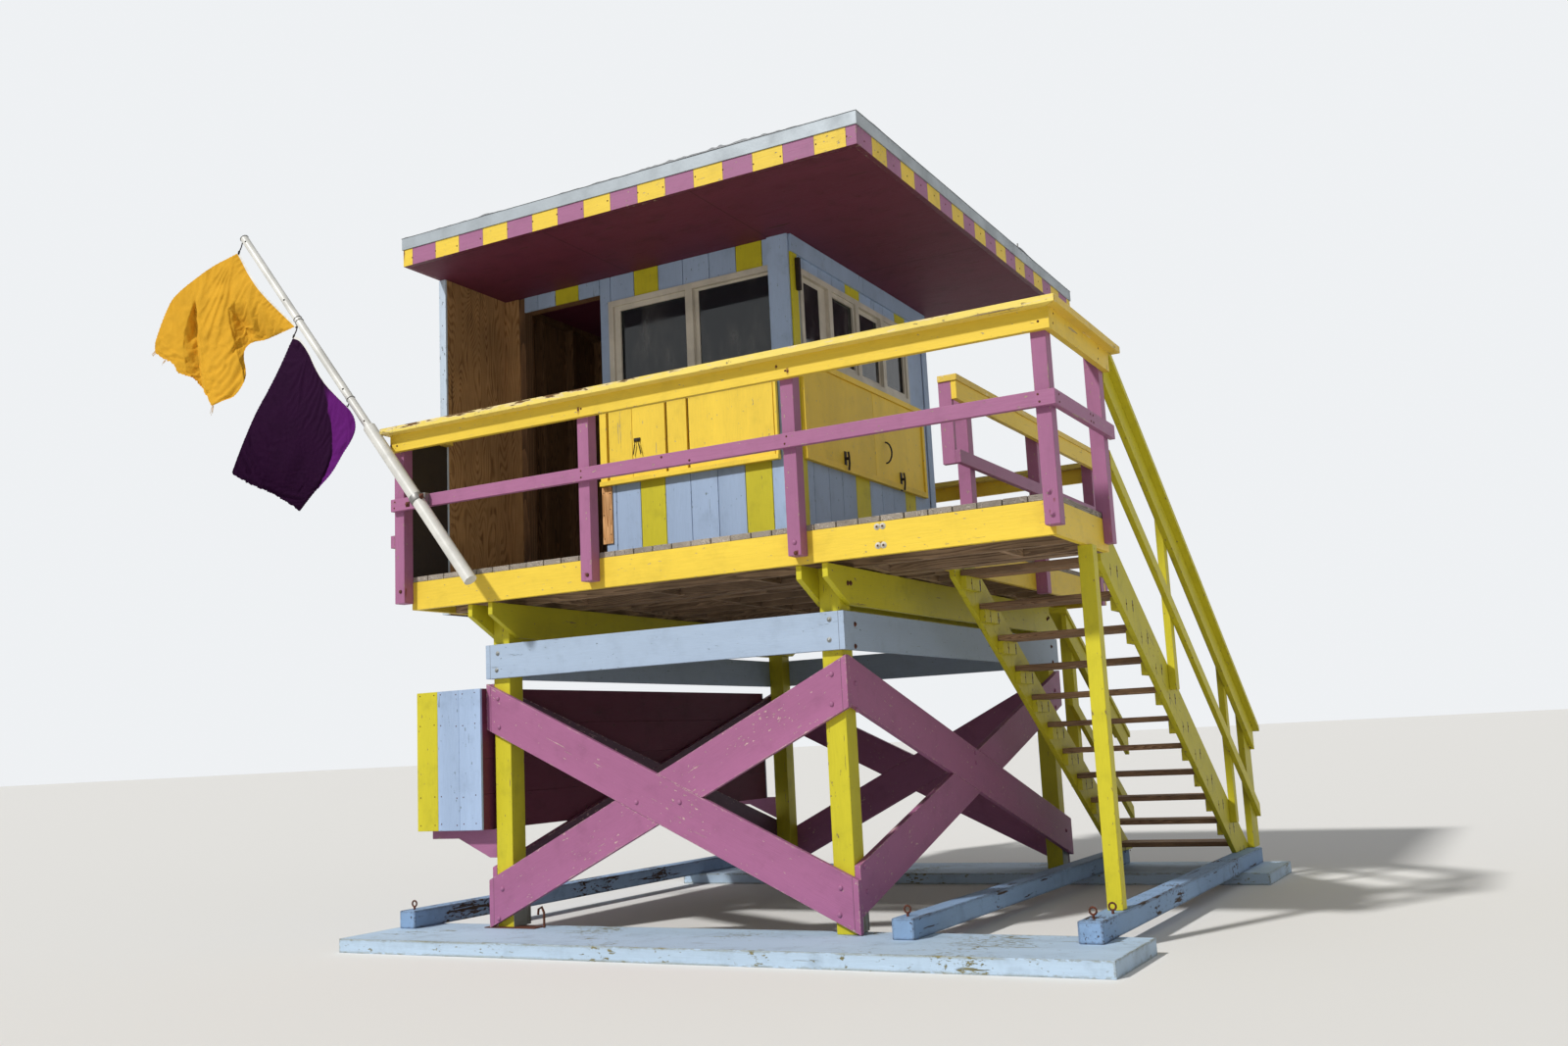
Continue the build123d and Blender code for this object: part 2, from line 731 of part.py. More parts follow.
def slope_board(y0, y1, drop, width, x0, x1):
    """A board that follows the handrail's slope, its top edge a given drop below the cap's top."""
    upright = width * hypot(1, handrail_slope)
    outline = [
        (y0, cap_line(y0) - drop),
        (y1, cap_line(y1) - drop),
        (y1, cap_line(y1) - drop - upright),
        (y0, cap_line(y0) - drop - upright),
    ]
    slant_y(outline, x0, x1)


def stair_post(x0, width, y0, depth):
    """An upright beside a stringer, its top cut to the slope under the cap."""
    y1 = y0 + depth
    foot = max(stringer_top(y0) - post_reach, skid_top)
    outline = [(y0, foot), (y0, cap_line(y0) - cap_upright), (y1, cap_line(y1) - cap_upright), (y1, foot)]
    slant_y(outline, x0, x0 + width)


inner_post_x = stringer_x[0] - rail_post
with BuildPart() as stair_posts:
    for y0, depth in outer_stair_posts:
        stair_post(outer_post_x, outer_post_width, y0, depth)
    for y0 in inner_stair_post_y:
        stair_post(inner_post_x, rail_post, y0, rail_post)
stair_posts.part.label = "stair_posts"
export_step(stair_posts.part, "parts/stair_posts.step")

outer_board_x = outer_post_x + outer_post_width
outer_cap_x = outer_board_x + board + 49
with BuildPart() as handrail_caps:
    slope_board(handrail_start, handrail_end, 0, board, outer_cap_x - two_by_six, outer_cap_x)
    slope_board(inner_handrail_start, handrail_end, 0, board, inner_post_x, inner_post_x + two_by_six)
handrail_caps.part.label = "handrail_caps"
export_step(handrail_caps.part, "parts/handrail_caps.step")

inner_start = inner_handrail_start + 20
with BuildPart() as handrail_boards:
    for drop, width in ((cap_upright, two_by_six), (lower_board_drop, two_by_four)):
        slope_board(handrail_start, handrail_end - 30, drop, width, outer_board_x, outer_board_x + board)
        slope_board(inner_start, handrail_end - 30, drop, width, stringer_x[0], stringer_x[0] + board)
handrail_boards.part.label = "handrail_boards"
export_step(handrail_boards.part, "parts/handrail_boards.step")

# flagpole: a thick sleeve below and a thinner pole above, leaning to the left in front of the rail
pole_y = cap_front - 45
pole_lean = 2232.0
pole_rise = 2899.0
pole_foot = (deck_left + 666, deck_top - 106)
sleeve_radius = 45.0
pole_radius = 30.0
sleeve_length = 1500.0
pole_length = hypot(pole_lean, pole_rise)
along_x = -pole_lean / pole_length
along_z = pole_rise / pole_length
pole_plane = Plane(origin=(pole_foot[0], pole_y, pole_foot[1]), z_dir=(along_x, 0, along_z))
with BuildPart() as flagpole:
    with Locations(pole_plane):
        Cylinder(pole_radius, pole_length, align=foot_align)
        Cylinder(sleeve_radius, sleeve_length, align=foot_align)
flagpole.part.label = "flagpole"
export_step(flagpole.part, "parts/flagpole.step")

# a strap and block hold the pole to the mid rail
clamp_height = (mid_rail_top - two_by_four / 2 - pole_foot[1]) / along_z
clamp_x = pole_foot[0] + clamp_height * along_x
strap = 5.0
strap_width = 50.0
block_width = 110.0
with BuildPart() as pole_clamp:
    with Locations(pole_plane.offset(clamp_height - strap_width / 2)):
        Cylinder(sleeve_radius + strap, strap_width, align=foot_align)
    x0 = clamp_x - block_width / 2
    bar(x0, x0 + block_width, pole_y + 20, rail_face - board, mid_rail_foot, mid_rail_top)
    with Locations(pole_plane):
        Cylinder(sleeve_radius, sleeve_length, align=foot_align, mode=Mode.SUBTRACT)
pole_clamp.part.label = "pole_clamp"
export_step(pole_clamp.part, "parts/pole_clamp.step")

# two thin flags, each snapped to the pole at two points
flag_thickness = 6.0
snap_width = 16.0
snap_set_in = 20.0
snap_overlap = 15.0
hoist_gap = 46.0


def pole_point(distance, off):
    """A point beside the pole's axis, a distance up from its foot, on the flags' side."""
    x = pole_foot[0] + distance * along_x - off * along_z
    return x, pole_foot[1] + distance * along_z + off * along_x


def flag(hoist_low, hoist_high, fly_low, fly_high):
    """A four-cornered cloth beside the pole, and the two snaps that reach the pole."""
    gap = pole_radius + hoist_gap
    corners = ((hoist_low, gap), (hoist_high, gap), fly_high, fly_low)
    cloth = [pole_point(*corner) for corner in corners]
    slant_x(cloth, pole_y - flag_thickness / 2, pole_y + flag_thickness / 2)
    for distance in (hoist_low + snap_set_in, hoist_high - snap_set_in - snap_width):
        snap = [
            pole_point(distance, pole_radius),
            pole_point(distance + snap_width, pole_radius),
            pole_point(distance + snap_width, gap + snap_overlap),
            pole_point(distance, gap + snap_overlap),
        ]
        slant_x(snap, pole_y - flag_thickness / 2, pole_y + flag_thickness / 2)


# each flag's hoist and its two outer corners: distance up the pole, then distance off it
upper_hoist_low = 2690.0
upper_hoist_high = 3640.0
upper_fly_low = (2832.6, 1077.7)
upper_fly_high = (3706.1, 1264.7)
lower_hoist_low = 1760.0
lower_hoist_high = 2600.0
lower_fly_low = (1497.8, 875.0)
lower_fly_high = (2262.1, 1198.9)
with BuildPart() as flags:
    flag(upper_hoist_low, upper_hoist_high, upper_fly_low, upper_fly_high)
    flag(lower_hoist_low, lower_hoist_high, lower_fly_low, lower_fly_high)
flags.part.label = "flags"
export_step(flags.part, "parts/flags.step")
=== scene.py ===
# Lifeguard tower: board work, paint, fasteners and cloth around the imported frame. Metres, z up.
from math import atan2, cos, exp, pi, radians, sin
from random import Random

import bmesh
import bpy
from mathutils import Matrix, Vector, noise


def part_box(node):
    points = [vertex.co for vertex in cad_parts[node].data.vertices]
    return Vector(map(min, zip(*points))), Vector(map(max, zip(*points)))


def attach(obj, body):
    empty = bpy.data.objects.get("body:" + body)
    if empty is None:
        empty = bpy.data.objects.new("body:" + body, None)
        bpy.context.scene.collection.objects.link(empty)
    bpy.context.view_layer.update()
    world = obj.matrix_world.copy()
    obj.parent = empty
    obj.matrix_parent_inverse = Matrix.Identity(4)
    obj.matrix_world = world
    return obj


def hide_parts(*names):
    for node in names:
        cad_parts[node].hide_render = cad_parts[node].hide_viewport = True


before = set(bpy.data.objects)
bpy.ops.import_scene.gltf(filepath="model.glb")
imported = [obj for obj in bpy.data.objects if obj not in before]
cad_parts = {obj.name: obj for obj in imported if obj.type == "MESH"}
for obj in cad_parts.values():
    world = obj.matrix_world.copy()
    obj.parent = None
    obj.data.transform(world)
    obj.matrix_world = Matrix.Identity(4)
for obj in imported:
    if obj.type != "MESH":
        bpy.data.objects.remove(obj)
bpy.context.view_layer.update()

# datum lines, the same as in the source
deck_left = -1.1515
deck_front = -2.230
deck_top = 2.510
landing_depth = 1.027
landing_back = deck_front + landing_depth
cap_top = 3.566
plank = 0.038

# paint and wood colours, as sRGB
yellow = "ECCA42"
lime = "CBBF28"
purple = "A2668A"
band_blue = "A6B7CC"
wall_blue = "A0B4D0"
plum = "64293E"
rust = "6B2E14"
primer = "B9A98F"
old_wood = "8C7358"
aqua_wood = "7F8D90"
dark_wood = "4A3A30"


# material helpers

mats = {}


def linear(code):
    """An sRGB colour code as linear red, green, blue and alpha."""
    parts = [int(code[i:i + 2], 16) / 255 for i in (0, 2, 4)]
    return [c / 12.92 if c < 0.04045 else ((c + 0.055) / 1.055) ** 2.4 for c in parts] + [1.0]


def darker(code, factor):
    """An sRGB colour code as a linear colour, darkened."""
    return [c * factor for c in linear(code)[:3]] + [1.0]


class Shader:
    """A material with short calls that add and join its nodes. A colour can be given by its sRGB code."""

    def __init__(self, name):
        self.name = name
        self.material = bpy.data.materials.new(name)
        self.material.use_nodes = True
        self.tree = self.material.node_tree
        self.surface = self.tree.nodes["Principled BSDF"]

    def node(self, kind, *values, **settings):
        made = self.tree.nodes.new(kind)
        for key, value in settings.items():
            setattr(made, key, value)
        for socket, value in zip(made.inputs, values):
            self.put(socket, value)
        return made

    def put(self, socket, value):
        if isinstance(value, bpy.types.NodeSocket):
            self.tree.links.new(value, socket)
        elif value is not None:
            socket.default_value = linear(value) if isinstance(value, str) else value

    def math(self, operation, *values):
        return self.node("ShaderNodeMath", *values, operation=operation).outputs[0]

    def times(self, product, *others):
        for other in others:
            product = self.math("MULTIPLY", product, other)
        return product

    def vector(self, operation, *values):
        made = self.node("ShaderNodeVectorMath", *values, operation=operation)
        return made.outputs["Value"] if operation == "DOT_PRODUCT" else made.outputs["Vector"]

    def scaled(self, vector, factor):
        made = self.node("ShaderNodeVectorMath", vector, operation="SCALE")
        self.put(made.inputs["Scale"], factor)
        return made.outputs["Vector"]

    def noise(self, place, scale, detail=4.0, roughness=0.55):
        made = self.node("ShaderNodeTexNoise")
        for name, value in (
            ("Vector", place), ("Scale", scale), ("Detail", detail), ("Roughness", roughness),
        ):
            self.put(made.inputs[name], value)
        return made.outputs["Fac"]

    def ramp(self, value, low, high, start=0.0, end=1.0):
        """A smooth step of a value from low to high."""
        made = self.node("ShaderNodeMapRange", value, low, high, start, end, interpolation_type="SMOOTHSTEP")
        return made.outputs["Result"]

    def choose(self, amount, first, second):
        """A number between two others."""
        made = self.node("ShaderNodeMix", amount, data_type="FLOAT")
        self.put(made.inputs[2], first)
        self.put(made.inputs[3], second)
        return made.outputs[0]

    def mix(self, amount, first, second, blend="MIX"):
        """A colour between two others."""
        made = self.node("ShaderNodeMix", amount, data_type="RGBA", blend_type=blend)
        self.put(made.inputs[6], first)
        self.put(made.inputs[7], second)
        return made.outputs[2]

    def shaded(self, colour, shade):
        """A colour made lighter or darker by a number."""
        grey = self.node("ShaderNodeCombineColor", shade, shade, shade).outputs[0]
        return self.mix(1.0, colour, grey, "MULTIPLY")

    def place(self):
        return self.node("ShaderNodeTexCoord").outputs["Object"]

    def drawn(self, height, place=None):
        """The place with its height scaled, so that a pattern is drawn out upwards."""
        return self.vector("MULTIPLY", place or self.place(), (1.0, 1.0, height))

    def parts(self, vector=None):
        """The x, y and z of a vector, or of the place."""
        return self.node("ShaderNodeSeparateXYZ", vector or self.place()).outputs[:3]

    def normal(self):
        return self.node("ShaderNodeNewGeometry").outputs["Normal"]

    def tone(self):
        """The random value that each board in a piece carries; on the purple flag it carries the share of
        painted sunlight instead.
        """
        return self.node("ShaderNodeAttribute", attribute_name="tone").outputs["Fac"]

    def edge(self, radius):
        """1 on sharp outer edges, 0 on flat faces."""
        rounded = self.node("ShaderNodeBevel", radius, samples=4).outputs["Normal"]
        return self.ramp(self.vector("DOT_PRODUCT", rounded, self.normal()), 0.985, 0.80)

    def finish(self, colour, roughness, height=None, depth=0.0, specular=None):
        """Joins what was made to the surface, with relief of a depth, and keeps the material by its name."""
        relief = None
        if height is not None:
            made = self.node("ShaderNodeBump")
            made.inputs["Strength"].default_value = 1.0
            made.inputs["Distance"].default_value = depth
            self.put(made.inputs["Height"], height)
            relief = made.outputs["Normal"]
        for name, value in (
            ("Base Color", colour), ("Roughness", roughness), ("Normal", relief),
            ("Specular IOR Level", specular),
        ):
            self.put(self.surface.inputs[name], value)
        mats[self.name] = self.material


def grain_space(shader, grain, squeeze):
    """Coordinates drawn out along the grain, shifted by each board's tone."""
    place = shader.vector("ADD", shader.place(), shader.times(shader.tone(), 23.0))
    run = shader.vector("DOT_PRODUCT", place, grain)
    return shader.vector("SUBTRACT", place, shader.scaled(grain, shader.times(run, 1 - squeeze)))


def brace_grain(falling):
    """The grain of the crossed braces, whose slope turns over between the four sides."""
    def grain(shader):
        low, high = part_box("falling_braces")
        turn = -1.0 if falling else 1.0
        rise = high.z - low.z - 0.33
        x, y = shader.parts(shader.vector("SUBTRACT", shader.place(), tuple((low + high) / 2)))[:2]
        inset = (high.x - low.x) / 2 - plank - 0.001
        on_side = shader.math("GREATER_THAN", shader.math("ABSOLUTE", x), inset)
        cross_rise = -turn * rise / (high.x - low.x)
        side_rise = turn * (rise - 0.1) / (high.y - low.y)
        up = shader.choose(
            on_side, shader.times(shader.math("SIGN", y), cross_rise),
            shader.times(shader.math("SIGN", x), side_rise))
        away = shader.math("SUBTRACT", 1.0, on_side)
        return shader.vector("NORMALIZE", shader.node("ShaderNodeCombineXYZ", away, on_side, up).outputs[0])
    return grain


def rust_mask(shader, spots):
    """Stains that run down from rusty fasteners: each is (point, half width, length)."""
    place = shader.place()
    total = 0.0
    for point, half_width, length in spots:
        x, y, z = shader.parts(shader.vector("SUBTRACT", place, point))
        aside = shader.math("ABSOLUTE", shader.math("ADD", x, y))
        spot = shader.times(
            shader.ramp(aside, half_width, half_width * 0.3), shader.ramp(z, -length, -length * 0.1),
            shader.ramp(z, half_width * 1.6, half_width * 0.9))
        total = shader.math("MAXIMUM", spot, total)
    ragged = shader.noise(shader.drawn(0.15, place), 90.0, 3.0)
    return shader.times(total, shader.ramp(ragged, 0.25, 0.6))


def stair_stains_and_hole_shade(shader):
    """A slot of painted shade, standing in for a bolt hole, and a thin dark streak at each of the two bolts
    under a tread, on the stringers' sides.
    """
    y, z = shader.parts()[1:]
    run = shader.math("MULTIPLY_ADD", y, 1 / going, -first_bolt / going)
    step = shader.math("FLOOR", run)
    share = shader.math("SUBTRACT", run, step)
    second = shader.math("ABSOLUTE", shader.math("SUBTRACT", share, bolt_gap / going))
    aside = shader.times(shader.math("MINIMUM", share, second), going)
    drop = shader.math("SUBTRACT", shader.math("MULTIPLY_ADD", step, -riser, bolt_top), z)
    # the slot is painted shade: it stands in for the dark of the bolt hole
    slot = shader.times(
        shader.ramp(drop, -0.036, -0.028), shader.ramp(drop, 0.050, 0.036),
        shader.ramp(aside, 0.014, 0.009, 0.0, 1.1))
    streak = shader.times(
        shader.ramp(drop, -0.01, 0.0), shader.ramp(drop, 0.16, 0.03),
        shader.ramp(aside, 0.005, 0.001, 0.0, 0.7))
    return shader.math("MAXIMUM", slot, streak)


def painted_wood(name, paint, under, grain, chips, dirt, edge, rough=0.48, spots=(), peel=0.0, reach=0.018,
                 torn=None):
    """Sawn lumber under old paint: fibres, chips, peeling, worn edges, grime, rust stains and torn places."""
    shader = Shader(name)
    direction = grain(shader) if callable(grain) else grain
    space = grain_space(shader, direction, 0.06)
    fibre = shader.noise(space, 150.0, 5.0, 0.6)
    broad = shader.noise(space, 2.4, 3.0)
    cluster = shader.ramp(shader.noise(shader.place(), 1.9, 3.0), 0.46, 0.68)
    patches = shader.noise(shader.place(), 6.0, 6.0, 0.62)
    fleck = shader.noise(grain_space(shader, direction, 0.40), 58.0, 5.0, 0.6)
    flake = shader.noise(space, 30.0, 7.0, 0.62)

    shade = shader.times(
        shader.ramp(broad, 0.3, 0.7, 0.90, 1.05), shader.ramp(fibre, 0.25, 0.75, 0.95, 1.035),
        shader.ramp(shader.tone(), 0.0, 1.0, 0.97, 1.05),
        shader.ramp(patches, 0.48, 0.80, 1.0, 1.0 - 0.32 * dirt))
    coat = shader.shaded(paint(shader) if callable(paint) else paint, shade)

    rim = shader.edge(reach)
    loose = shader.math("MULTIPLY_ADD", cluster, 0.085 * chips, fleck)
    loose = shader.math("MULTIPLY_ADD", rim, 0.16 * edge, loose)
    flecks = shader.ramp(loose, 0.675, 0.70)
    loose = shader.math("MULTIPLY_ADD", rim, 0.08 * edge + 0.10 * peel, flake)
    loose = shader.math("MULTIPLY_ADD", cluster, 0.03 + 0.07 * peel, loose)
    flakes = shader.ramp(loose, 0.69 - 0.03 * peel, 0.71 - 0.03 * peel)
    worn = shader.math("MAXIMUM", flecks, flakes)
    wood_shade = shader.mix(shader.ramp(fibre, 0.35, 0.65), under, darker(under, 0.55))
    colour = shader.mix(worn, coat, wood_shade)
    roughness = shader.math(
        "MULTIPLY_ADD", worn, 0.25, shader.ramp(fibre, 0.2, 0.8, rough - 0.05, rough + 0.09))
    # a callable gives its own dark marks; on the stringers these are streaks and painted shade of bolt holes
    if callable(spots):
        colour = shader.mix(shader.times(spots(shader), 0.85), colour, "33240F")
    elif spots:
        colour = shader.mix(shader.times(rust_mask(shader, spots), 0.85), colour, rust)
    height = shader.math("MULTIPLY_ADD", worn, -1.0, fibre)
    if torn:
        tear = shader.noise(grain_space(shader, direction, 0.16), 46.0, 4.0, 0.55)
        tear = shader.math("MULTIPLY_ADD", torn(shader), 0.30, tear)
        split = shader.ramp(tear, 0.735, 0.765)
        colour = shader.mix(shader.ramp(tear, 0.655, 0.675), colour, "E0CB92")
        colour = shader.mix(split, colour, "6B4C22")
        height = shader.math("MULTIPLY_ADD", split, -4.0, height)
    shader.finish(colour, roughness, height, 0.0012, 0.3)


def bare_wood(name, light, dark, grain, rings, cracks=0.5):
    """Unpainted timber with growth rings, checks and stains."""
    shader = Shader(name)
    space = grain_space(shader, grain, 0.06)
    ring = shader.node("ShaderNodeTexWave", wave_type="RINGS", wave_profile="SAW")
    wander = shader.scaled((0.6, 0.7, 0.8), shader.noise(space, 5.0, 3.0))
    for key, value in (
        ("Vector", shader.vector("ADD", space, wander)), ("Scale", rings), ("Distortion", 1.5),
        ("Detail", 3.0),
    ):
        shader.put(ring.inputs[key], value)
    fibre = shader.noise(space, 190.0, 5.0, 0.6)
    patches = shader.noise(shader.place(), 3.0, 4.0)
    check = shader.noise(space, 46.0, 6.0, 0.55)
    crack = shader.times(shader.ramp(check, 0.66, 0.71), cracks)
    pattern = shader.math("MULTIPLY_ADD", ring.outputs["Fac"], 0.55, shader.times(fibre, 0.6))
    shade = shader.times(
        shader.ramp(patches, 0.35, 0.7, 0.78, 1.12), shader.ramp(shader.tone(), 0.0, 1.0, 0.86, 1.14),
        shader.math("SUBTRACT", 1.0, shader.times(crack, 0.75)))
    colour = shader.shaded(shader.mix(shader.ramp(pattern, 0.2, 0.9), dark, light), shade)
    height = shader.math("SUBTRACT", pattern, shader.times(crack, 1.5))
    shader.finish(colour, shader.ramp(fibre, 0.2, 0.8, 0.68, 0.86), height, 0.0016)


def plywood(name):
    """A softwood veneer sheet: tall flames of fine lines, dark flecks and patches."""
    shader = Shader(name)
    place = shader.vector("ADD", shader.place(), shader.times(shader.tone(), 9.0))
    warp = shader.noise(shader.drawn(0.22, place), 2.6, 2.0, 0.45)
    flames = shader.math("SINE", shader.times(warp, 330.0))
    fine = shader.noise(shader.drawn(0.025, place), 260.0, 4.0, 0.6)
    streak = shader.noise(shader.drawn(0.06, place), 34.0, 5.0, 0.62)
    stain = shader.noise(place, 2.2, 5.0, 0.6)
    figure = shader.times(shader.ramp(flames, -0.4, 1.0), shader.ramp(streak, 0.35, 0.62, 0.25, 1.0))
    colour = shader.mix(figure, "AC8558", "83603A")
    colour = shader.mix(shader.ramp(streak, 0.60, 0.72, 0.0, 0.75), colour, "432B18")
    shade = shader.times(shader.ramp(fine, 0.25, 0.75, 0.90, 1.08), shader.ramp(stain, 0.3, 0.7, 0.80, 1.10))
    height = shader.math("MULTIPLY_ADD", figure, -0.4, fine)
    shader.finish(shader.shaded(colour, shade), 0.8, height, 0.0010, 0.2)


def roof_felt(name):
    """Grey mineral felt with a gritty surface and dirt in the folds."""
    shader = Shader(name)
    grit = shader.noise(shader.place(), 420.0, 3.0, 0.7)
    cloud = shader.noise(shader.place(), 2.6, 6.0, 0.6)
    colour = shader.mix(shader.ramp(cloud, 0.3, 0.72), "999B9C", "808183")
    colour = shader.mix(shader.ramp(grit, 0.52, 0.7, 0.0, 0.5), colour, "4C4C4D")
    shader.finish(colour, 0.92, grit, 0.0015)


def plain_metal(name, colour, rough, metallic, rust_amount, scale=30.0):
    """Dull or painted metal with dirt and specks of rust."""
    shader = Shader(name)
    cloud = shader.noise(shader.place(), 4.0, 5.0, 0.6)
    speck = shader.noise(shader.place(), scale, 6.0, 0.65)
    shade = shader.mix(shader.ramp(cloud, 0.3, 0.75), colour, darker(colour, 0.72))
    spots = shader.ramp(speck, 0.72 - 0.22 * rust_amount, 0.78 - 0.18 * rust_amount)
    shader.put(shader.surface.inputs["Metallic"], shader.ramp(spots, 0.0, 1.0, metallic, 0.0))
    roughness = shader.ramp(cloud, 0.2, 0.8, rough - 0.08, rough + 0.12)
    shader.finish(shader.mix(spots, shade, rust), roughness, speck, 0.0006)


def dusty_glass(name):
    """Dark window glass with a film of dust in tall clouds."""
    shader = Shader(name)
    film = shader.noise(shader.drawn(0.35), 7.0, 6.0, 0.6)
    dust = shader.ramp(film, 0.45, 0.8, 0.0, 0.30)
    shader.put(shader.surface.inputs["Transmission Weight"], shader.ramp(dust, 0.0, 0.3, 0.45, 0.25))
    shader.surface.inputs["IOR"].default_value = 1.5
    shader.finish(shader.mix(dust, "20282E", "8F8C84"), shader.ramp(film, 0.3, 0.8, 0.02, 0.14))


# mesh helpers

draws = Random(7)


def new_mesh():
    """An empty bmesh whose points carry a tone."""
    mesh = bmesh.new()
    mesh.verts.layers.float.new("tone")
    return mesh


def add_box(mesh, low, high, paint=0, tone=None):
    """A square-cut board in a mesh, carrying its own tone."""
    size = Vector(high) - Vector(low)
    matrix = Matrix.Translation((Vector(low) + Vector(high)) / 2) @ Matrix.Diagonal((*size, 1.0))
    made = bmesh.ops.create_cube(mesh, size=1.0, matrix=matrix)
    value = draws.random() if tone is None else tone
    layer = mesh.verts.layers.float["tone"]
    for vert in made["verts"]:
        vert[layer] = value
        for face in vert.link_faces:
            face.material_index = paint


def add_skin(mesh, rows, paint=0, closed=True):
    """Faces between rows of points; a closed skin also joins each row's end to its start."""
    for lower, upper in zip(rows, rows[1:]):
        for i in range(len(lower) if closed else len(lower) - 1):
            k = (i + 1) % len(lower)
            mesh.faces.new((lower[i], lower[k], upper[k], upper[i])).material_index = paint


def circle(radius, sides):
    """Points round a circle in the xy plane."""
    turns = [2 * pi * i / sides for i in range(sides)]
    return [Vector((radius * cos(turn), radius * sin(turn), 0.0)) for turn in turns]


def upright_to(axis):
    """The turn that brings z to an axis."""
    return Vector((0, 0, 1)).rotation_difference(Vector(axis)).to_matrix()


def add_slab(mesh, outline, z0, z1):
    """A flat board from its plan, corner by corner anticlockwise."""
    layer = mesh.verts.layers.float["tone"]
    tone = draws.random()
    rings = [[mesh.verts.new((x, y, z)) for x, y in outline] for z in (z0, z1)]
    for vert in rings[0] + rings[1]:
        vert[layer] = tone
    mesh.faces.new(list(reversed(rings[0])))
    mesh.faces.new(rings[1])
    add_skin(mesh, rings)


def add_dome(mesh, centre, axis, radius, height):
    """A low domed bolt or nail head on a face."""
    move = Matrix.Translation(Vector(centre)) @ upright_to(axis).to_4x4()
    rows = []
    for wide, up in ((1.0, -0.3), (1.0, 0.25), (0.86, 0.62), (0.5, 0.93)):
        lift = Vector((0, 0, height * up))
        rows.append([mesh.verts.new(move @ (point + lift)) for point in circle(radius * wide, 14)])
    add_skin(mesh, rows)
    top = mesh.verts.new(move @ Vector((0, 0, height)))
    for start, end in zip(rows[-1], rows[-1][1:] + rows[-1][:1]):
        mesh.faces.new((start, end, top))


def add_hex(mesh, centre, axis, radius, height, washer=1.7):
    """A hexagonal bolt head on its washer."""
    move = Matrix.Translation(Vector(centre)) @ upright_to(axis).to_4x4()
    for wide, low, high, sides in ((radius * washer, -0.002, height * 0.25, 18), (radius, 0.0, height, 6)):
        bmesh.ops.create_cone(
            mesh, cap_ends=True, segments=sides, radius1=wide, radius2=wide * 0.93, depth=high - low,
            matrix=move @ Matrix.Translation((0, 0, (low + high) / 2)))


def add_rod(mesh, points, radius, sides=10):
    """A bent round bar through a few points."""
    places = [Vector(p) for p in points]
    rows = []
    for before, spot, after in zip(places[:1] + places, places, places[1:] + places[-1:]):
        turn = upright_to((after - before).normalized())
        rows.append([mesh.verts.new(spot + turn @ point) for point in circle(radius, sides)])
    add_skin(mesh, rows)
    mesh.faces.new(list(reversed(rows[0])))
    mesh.faces.new(rows[-1])


def mesh_object(name, mesh, materials):
    """An object in the scene from a bmesh, with its materials by name."""
    data = bpy.data.meshes.new(name)
    mesh.to_mesh(data)
    mesh.free()
    for material in materials:
        data.materials.append(mats[material])
    return add_object(name, data)


def add_object(name, data):
    obj = bpy.data.objects.new(name, data)
    bpy.context.scene.collection.objects.link(obj)
    return obj


def add_edges(obj, width):
    """Small rounded edges, as a saw and sandpaper leave them."""
    bevel = obj.modifiers.new("edges", "BEVEL")
    bevel.width = width
    bevel.segments = 2
    bevel.limit_method = "ANGLE"
    bevel.angle_limit = radians(35)
    bevel.harden_normals = True


def piece(name, mesh, materials, slot, edges, *replaces):
    """Turns a bmesh into a named piece that rides on the tower."""
    obj = mesh_object(name, mesh, materials)
    obj.data.polygons.foreach_set("use_smooth", [True] * len(obj.data.polygons))
    if edges:
        add_edges(obj, edges)
    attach(obj, "root")
    if replaces:
        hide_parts(*replaces)
    return obj


def dress(node, material, edges):
    """Gives a kept CAD node its material and rounded edges."""
    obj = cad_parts[node]
    obj.data.materials.clear()
    obj.data.materials.append(mats[material])
    if edges:
        weld = obj.modifiers.new("weld", "WELD")
        weld.merge_threshold = 0.0002
        add_edges(obj, edges)


# stair sizes, the same as in the source

riser = 0.1985
stringer_slope = 0.645
handrail_slope = 0.64
stringer_top = deck_top + 0.0575
going = riser / stringer_slope
first_tread = deck_top - 0.231
tread_depth = 0.286
tread_drop = 0.045
cleat_height = 0.089
first_bolt = -1.015
bolt_gap = 0.155
bolt_top = first_tread - plank - cleat_height / 2


# materials

checker_pitch = 0.222
x_grain = (1.0, 0.0, 0.0)
y_grain = (0.0, 1.0, 0.0)
z_grain = (0.0, 0.0, 1.0)
handrail_grain = tuple(Vector((0.0, 1.0, -handrail_slope)).normalized())
stringer_grain = tuple(Vector((0.0, 1.0, -stringer_slope)).normalized())


def rust_spots(y, spots):
    """Stains on a face that looks forward, from (x, z, half width, length)."""
    return [((x, y, z), half_width, length) for x, z, half_width, length in spots]


upper_rail_rust = rust_spots(-2.357, (
    (0.391, 3.450, 0.014, 0.05), (1.882, 3.478, 0.010, 0.03), (1.958, 3.440, 0.014, 0.04),
    (-1.260, 3.448, 0.014, 0.04),
)) + rust_spots(-2.230, ((2.447, 2.330, 0.020, 0.03),))
post_rust = rust_spots(-2.319, (
    (-1.166, 2.404, 0.016, 0.06), (3.533, 2.452, 0.008, 0.02), (3.502, 2.395, 0.004, 0.02),
    (0.387, 2.359, 0.012, 0.04), (1.942, 2.335, 0.012, 0.04),
))


def soffit_paint(shader):
    """Plum paint over sheets whose joints show as thin dark lines."""
    x, y = shader.parts()[:2]
    joints = 0.0
    for place, start, size in ((x, -1.24, 1.22), (y, -2.17, 2.14)):
        share = shader.math("MODULO", shader.math("SUBTRACT", place, start), size)
        joints = shader.math("MAXIMUM", shader.math("LESS_THAN", share, 0.005), joints)
    return shader.mix(joints, plum, "2A1018")


def left_rail_paint(shader):
    """The short left rails are yellow under the cap and purple below."""
    return shader.mix(shader.math("GREATER_THAN", shader.parts()[2], 3.2), purple, yellow)


